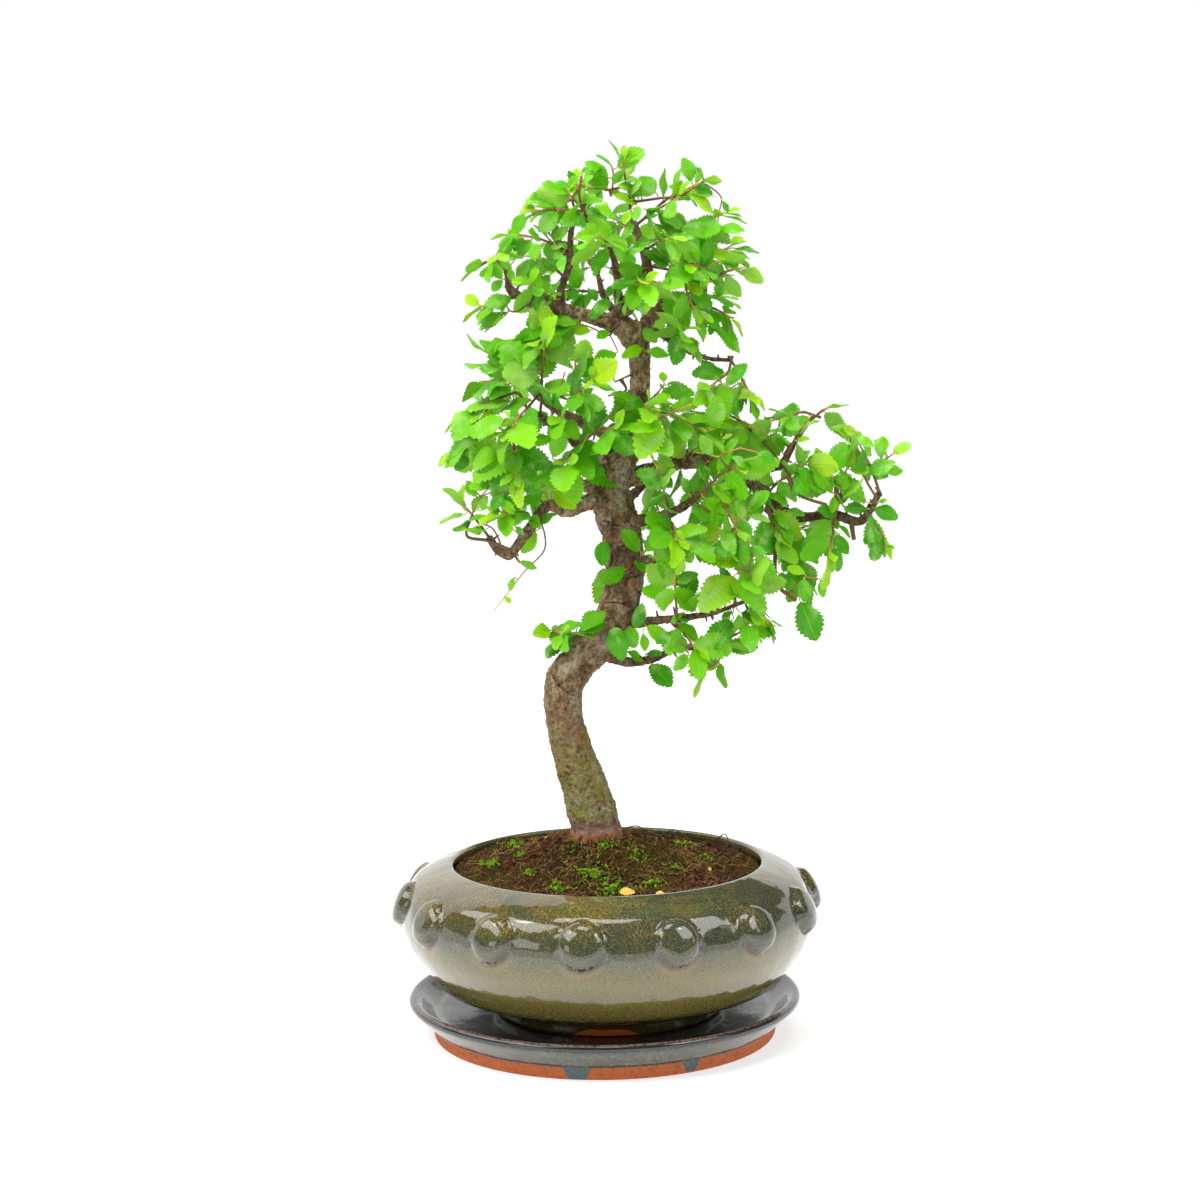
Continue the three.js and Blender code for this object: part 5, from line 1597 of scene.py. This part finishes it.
def build_soil(earth):
    """The soil's crumbly top, in rings round the pot's middle, and its side below the pot's mouth."""
    radii = soil_radius * (np.arange(1, soil_rings + 1) / soil_rings) ** 0.85
    angles = [2 * math.pi * j / soil_sides for j in range(soil_sides)]
    points = [[pot_x, 0, soil_top(pot_x, 0)]]
    for r in radii:
        for a in angles:
            x, y = polar(r, a, (pot_x, 0))
            points.append([x, y, soil_top(x, y)])
    for r, z in ((soil_radius, soil_foot + 6), (soil_radius - 4, soil_foot)):
        points += [[*polar(r, a, (pot_x, 0)), z] for a in angles]
    points.append([pot_x, 0, soil_foot])
    after = [(j + 1) % soil_sides for j in range(soil_sides)]
    faces = [[0, 1 + j, 1 + after[j]] for j in range(soil_sides)]
    faces += [[a, d, c, b] for a, b, c, d in wall_faces(soil_rings + 2, soil_sides, 1)]
    end = 1 + (soil_rings + 1) * soil_sides
    faces += [[len(points) - 1, end + after[j], end + j] for j in range(soil_sides)]
    shell = Shell()
    shell.add(points, faces)
    piece("soil_surface", shell.mesh("soil_surface"), [earth], replaced=["soil"])


def soil_paint():
    """Dark peat with red-brown fibres and green growth in patches."""
    p = Paint("soil")
    p.base = p.ramp(p.noise(420, 6, 0.7), (0.32, 8, 4, 2), (0.45, 34, 19, 9), (0.58, 76, 47, 22),
                    (0.72, 146, 102, 54))
    fibre = p.span(p.noise(260, 4, 0.6, 2.5, stretch=(1.0, 3.5, 1.0)), 0.56, 0.68)
    p.coat(fibre * 0.7, (148, 92, 46))
    green = p.span(p.noise(30, 4, 0.65), 0.44, 0.6) * p.span(p.noise(900, 3), 0.42, 0.6)
    p.coat(green * 0.6, (78, 84, 22))
    return p.finish(Roughness=0.95, Normal=p.bump(p.noise(700, 6, 0.75), 0.002, 0.9), Specular_IOR_Level=0.15)


def plain_paint(name, dark, light, scale, roughness):
    """A cloudy mix of two screen colours."""
    p = Paint(name)
    p.base = p.mix(p.noise(scale, 4, 0.6), dark, light)
    return p.finish(Roughness=roughness, Normal=p.bump(p.noise(scale * 3, 3), 0.0003, 0.5))


def ground_path(rng, x, y, length, wander, rise):
    """A thread that lies on the soil and wanders, with humps."""
    heading = any_angle(rng)
    points = []
    steps = max(4, int(length / 2.5))
    for k in range(steps + 1):
        z = soil_top(x, y) + 0.25 + rise * math.sin(math.pi * k / steps) * rng.uniform(0.6, 1.2)
        points.append([x, y, z])
        heading += rng.uniform(-wander, wander)
        x += length / steps * math.cos(heading)
        y += length / steps * math.sin(heading)
        if math.hypot(x - pot_x, y) > soil_radius - 2.5:
            break
    return points


# The trunk's middle at the soil, and single straws on the soil: x, y and lift
collar = (-3.0, 16.5)
soil_straws = [
    [(15, 34, 0.4), (22, 33, 2.2), (29, 30, 0.6)], [(39, 36, 0.5), (46, 32, 1.5), (53, 28, 0.4)],
    [(55, 8, 0.3), (62, 14, 5.5), (66, 4, 8), (63, -6, 0.4)], [(48, -22, 0.4), (54, -10, 4), (60, -4, 1)],
    [(-30, -10, 0.4), (-26, -4, 3), (-24, 6, 1)], [(28, -18, 0.4), (36, -14, 2.6), (40, -4, 0.5)],
    [(-52, 6, 0.3), (-46, 10, 2.4), (-38, 12, 0.5)],
    [(49, 33, 0.3), (56, 30, 6), (61, 27, 10.5), (62.5, 24, 5), (62.5, 20, 0.4)],
    [(30, 60, 0.6), (36, 58, 3.6), (42, 54, 0.8)], [(9, 34, 1.5), (17, 40, 5), (24, 46, 2.0)],
    [(28, 50, 0.4), (33, 52, 4), (36, 58, 3)],
    [(60, 2, 0.3), (64, 6, 6), (63, 12, 8), (58, 18, 0.6)], [(-50, 30, 0.4), (-46, 34, 4), (-40, 34, 0.6)],
]
fibre_count = 1500
collar_root_count = 60
collar_radius = 11.5


def build_fibres(paints):
    """Dry root fibres and straws that lie over the soil, and the frayed roots at the trunk's collar."""
    rng = random.Random(77)
    shell = Shell()
    for _ in range(fibre_count):
        x, y = polar((soil_radius - 3) * rng.random() ** 0.5, any_angle(rng), (pot_x, 0))
        points = ground_path(rng, x, y, rng.uniform(3, 11), 0.35, rng.uniform(0, 2.2))
        if len(points) < 3:
            continue
        path, place = smooth_path(points, 2.4)
        size = rng.uniform(0.08, 0.2)
        shell.add(*tube(path, size * (1 - 0.6 * place), 3), kind=rng.choice((0, 0, 0, 1, 1, 2)))
    for points in soil_straws:
        path, place = smooth_path([[x, y, soil_top(x, y) + lift] for x, y, lift in points], 1.2)
        shell.add(*tube(path, 0.42 * (1 - 0.5 * place), 5), kind=2)
    for _ in range(collar_root_count):
        a = any_angle(rng)
        start = np.array([*polar(collar_radius, a, collar), rng.uniform(94, 98)])
        reach = rng.uniform(3, 8)
        x = reach * math.cos(a + rng.uniform(-0.5, 0.5))
        end = start + [x, reach * math.sin(a + rng.uniform(-0.5, 0.5)), 0]
        end[2] = soil_top(end[0], end[1]) - 0.4
        middle = lerp(start, end, 0.5) + UP * rng.uniform(-0.5, 1.5)
        path, place = smooth_path([start, middle, end], 1.2)
        shell.add(*tube(path, lerp(0.55, 0.2, place), 5), kind=0)
    piece("root_fibres", shell.mesh("root_fibres"), paints)


# Fallen leaves: x, y, heading, length and lift
fallen_leaves = [(7, -62.5, 0.25, 7.5, 2.6), (29, -64, 2.8, 4.6, 1.6), (-30, 46, 0.5, 4.0, 1.0),
                 (52, -16, 2.0, 4.0, 1.0)]


def build_fallen(paint):
    """A few small dry leaves lying on the soil."""
    rng = random.Random(9)
    shell = Shell()
    for x, y, heading, length, lift in fallen_leaves:
        way = np.array([math.cos(heading), math.sin(heading), 0.0])
        normal = unit([rng.uniform(-0.3, 0.3), -0.35 - 0.35 * lift, 1.0])
        base = np.array([x, y, soil_top(x, y) + lift])
        leaf = {"base": base, "forward": unit(way - normal * np.dot(way, normal)), "normal": normal,
                "length": length, "age": rng.random()}
        points, marks = blade(leaf, rng)
        top, under = blade_sides[blade_size(leaf)]
        shell.add(placed(points, leaf), top + under, 0, marks)
    piece("fallen_leaves", shell.mesh("fallen_leaves"), [paint], sharp=60)


# Moss cushions: centre on the soil, spread and number of shoots
moss_places = [
    (-54, -2, 4.5, 260), (-41, 8, 3, 90), (-36, -20, 3, 60), (-4, -30, 22, 260), (4, -54, 14, 200),
    (24, -40, 12, 90), (34, -16, 6, 60), (-22, -44, 10, 90), (-58, -2, 4, 30), (-10, 50, 16, 180),
    (40, 34, 12, 100), (-44, 34, 12, 120), (16, -6, 10, 60), (50, 8, 10, 50), (-14, 2, 8, 20),
    (0, 0, 60, 260),
]


def build_moss(paint):
    """Cushions of moss. Each shoot has three small leaves."""
    rng = random.Random(31)
    shell = Shell()
    for cx, cy, spread, count in moss_places:
        for _ in range(count):
            a, r = any_angle(rng), spread * abs(rng.gauss(0, 0.5))
            x, y = polar(r, a, (cx, cy))
            if math.hypot(x - pot_x, y) > soil_radius - 2:
                continue
            root = np.array([x, y, soil_top(x, y) - 0.3])
            lean = np.array([rng.uniform(-0.5, 0.5), rng.uniform(-0.5, 0.5), 1.0])
            height = rng.uniform(0.9, 2.3) * (1.25 - 0.5 * min(r / spread, 1))
            tone = rng.random()
            for _ in range(3):
                side = np.array([*polar(1, rng.uniform(0, 6.28)), 0.35])
                top = root + unit(lean) * height + side * 0.5
                wide = np.cross(unit(side), UP) * 0.42
                middle = lerp(root, top, 0.6)
                points = [root, middle + wide, top, middle - wide, middle + unit(side) * 0.22]
                faces = [[0, 1, 4], [1, 2, 4], [2, 3, 4], [3, 0, 4], [0, 3, 1], [1, 3, 2]]
                shell.add(points, faces, 0, [tone, tone, tone])
    piece("moss", shell.mesh("moss"), [paint])


def moss_paint():
    """Dark to light green, browner in patches. Marks hold each shoot's tone."""
    p = Paint("moss")
    p.base = p.ramp(p.marks()[0], (0.0, 62, 96, 6), (0.5, 98, 150, 12), (1.0, 160, 200, 44))
    p.coat(p.span(p.noise(60, 3), 0.4, 0.65, 0.0, 0.55), (96, 92, 22))
    return p.finish(Roughness=0.8, Specular_IOR_Level=0.2)


# Camera and studio

def build_camera():
    data = bpy.data.cameras.new("camera")
    data.lens = camera_lens
    data.sensor_width = sensor
    camera = shown("camera", data)
    camera.location = camera_place
    camera.rotation_mode = "QUATERNION"
    camera.rotation_quaternion = (Quaternion((1, 0, 0), math.pi / 2 - camera_pitch)
                                  @ Quaternion((0, 0, 1), camera_roll))
    bpy.context.scene.camera = camera


def glow_paint(name, strength):
    """A white material that only glows."""
    p = Paint(name)
    p.put(p.output.inputs[0], p.node("Emission", {"Color": (255, 255, 255), "Strength": strength}))
    return p.material


def see_only(thing, seen):
    """Hide a thing from all rays but the kinds that seen names."""
    thing.visible_camera = False
    thing.visible_diffuse = "diffuse" in seen
    thing.visible_glossy = "glossy" in seen
    thing.visible_shadow = "shadow" in seen
    thing.visible_transmission = "diffuse" in seen
    thing.visible_volume_scatter = False


def shell_of_room(name, radius, strength, seen, foot):
    """The dim room: a ball round the object from the rise foot up, open to the white backdrop behind it. It
    is seen only by the kinds of ray that seen names."""
    columns, rows = 48, 24
    points = []
    for i in range(rows + 1):
        degrees = lerp(foot, 90, i / rows)
        rise = math.radians(degrees)
        for j in range(columns + 1):
            place = 2 * j / columns - 1
            side = int(place > 0)
            above = float(smoothstep(backdrop_top[side] - 8, backdrop_top[side] + 8, degrees))
            turn = math.radians(-90 + place * lerp(room_reach[side], 180, above))
            points.append([*polar(radius * math.cos(rise), turn), radius * math.sin(rise)])
    corners = [i * (columns + 1) + j for i in range(rows) for j in range(columns)]
    faces = [[a, a + 1, a + columns + 2, a + columns + 1] for a in corners]
    mesh = bpy.data.meshes.new(name)
    mesh.from_pydata(points, [], faces)
    mesh.materials.append(glow_paint(name, strength))
    room = shown(name, mesh)
    see_only(room, seen)


def sheet(name, width, height, material):
    """A flat rectangle round the middle of the frame."""
    w, h = width / 2, height / 2
    mesh = bpy.data.meshes.new(name)
    mesh.from_pydata([(-w, -h, 0), (w, -h, 0), (w, h, 0), (-w, h, 0)], [], [(0, 1, 2, 3)])
    mesh.materials.append(material)
    return shown(name, mesh)


def aim(thing, place, way, front):
    """Put a thing at a place with its front, one of its axes, along a way."""
    thing.location = place
    thing.rotation_mode = "QUATERNION"
    thing.rotation_quaternion = way.to_track_quat(front, "Y")


def card(name, turn, rise, distance, size, strength):
    """A glowing window seen only in reflections. Turn is in degrees from the camera's side, to its right."""
    a, b = math.radians(turn - 90), math.radians(rise)
    place = Vector((math.cos(a) * math.cos(b), math.sin(a) * math.cos(b), math.sin(b))) * distance
    window = sheet(name, *size, glow_paint(name, strength))
    aim(window, place, -place, "Z")
    see_only(window, "glossy")


floor_grey = (0.5, 0.5, 0.5, 1.0)
floor_width = 30


def build_floor():
    """A plain pale floor that glows a little, as an overexposed table does."""
    p = Paint("floor")
    p.finish(Roughness=1.0, Specular_IOR_Level=0.0, Emission_Color=(255, 255, 255), Emission_Strength=0.6)
    p.shader.inputs["Base Color"].default_value = floor_grey
    floor = sheet("floor", floor_width, floor_width, p.material)


light_target = Vector((0, 0, 0.2))


def area_light(name, place, size, power):
    """A soft light above, which no reflection shows."""
    data = bpy.data.lights.new(name, "AREA")
    data.shape = "RECTANGLE"
    data.size, data.size_y = size
    data.energy = power
    light = shown(name, data)
    aim(light, place, light_target - Vector(place), "-Z")
    light.visible_camera = False
    light.visible_glossy = False


# Window panes: turn and rise in degrees, size in metres and strength
window_panes = [(-72, 47, (2.3, 0.85), 3.4), (-47, 19, (0.75, 0.42), 2.0), (61, 42, (1.05, 1.0), 3.3),
                (-25, 79, (1.0, 0.75), 4.0), (-66, 52, (0.3, 0.26), 9.0), (56, 50, (0.3, 0.26), 9.0),
                (74, 22, (0.3, 0.4), 2.0)]
pane_distance = 2.2

# How far round the dim room goes and how high the white backdrop goes, in degrees, to the left and right
room_reach = (107, 116)
backdrop_top = (50, 27)
# The rise from which the dim room shows in reflections, because the pale table lies below
table_top = 10


def build_studio():
    """White surroundings, a dim room on the camera's side with its windows, and soft lights above."""
    world = bpy.data.worlds.new("studio")
    world.use_nodes = True
    world.node_tree.nodes["Background"].inputs[0].default_value = (1, 1, 1, 1)
    world.node_tree.nodes["Background"].inputs[1].default_value = 1.0
    bpy.context.scene.world = world
    build_floor()
    shell_of_room("room_seen", 4.0, 0.02, "glossy", table_top)
    shell_of_room("room_light", 4.3, 0.62, "diffuse shadow", 0)
    for index, (turn, rise, size, strength) in enumerate(window_panes):
        card(f"window_{index}", turn, rise, pane_distance, size, strength)
    card("ceiling", 0, 89, 3.4, (4.6, 4.6), 0.13)
    area_light("key", (-1.1, -1.1, 1.9), (1.1, 1.1), 50)
    area_light("fill", (1.4, -1.2, 1.3), (1.0, 1.0), 10)
    area_light("top", (0.1, 0.3, 2.1), (1.4, 1.4), 36)
    bpy.context.scene.view_settings.view_transform = "Standard"


# Screen colours of the leaves' two sides, from the youngest leaf to the oldest
upper_shades = [(194, 230, 8), (152, 218, 4), (100, 196, 0), (134, 208, 4), (82, 180, 0), (56, 154, 0)]
under_shades = [(196, 232, 50), (176, 224, 50), (152, 212, 52), (152, 206, 66), (136, 200, 52),
                (124, 190, 50)]

build_camera()
build_studio()
# The third colour of each leaf paint is its painted sheen
leaf_paints = [
    leaf_paint("leaf_upper", upper_shades, (168, 214, 116), (174, 228, 56), 0.3, (176, 236, 0)),
    leaf_paint("leaf_under", under_shades, (174, 210, 112), (194, 226, 112), 0.45, (164, 230, 6)),
    twig_paint(),
]
stems = wood_stems(random.Random(11))
build_wood(stems, bark_paint())
carriers = limb_carriers(stems)
build_sprays(leaf_paints, carriers)
build_seen(carriers, leaf_paints)
build_pot(pot_paint())
build_saucer(saucer_paint())
build_soil(soil_paint())
build_fibres([plain_paint("fibre", (74, 40, 20), (136, 84, 46), 400, 0.9),
              plain_paint("straw", (136, 94, 46), (190, 150, 90), 300, 0.8),
              plain_paint("dark_fibre", (34, 22, 15), (74, 50, 34), 300, 0.9)])
build_fallen(plain_paint("fallen_leaf", (206, 150, 40), (238, 208, 92), 260, 0.6))
build_moss(moss_paint())
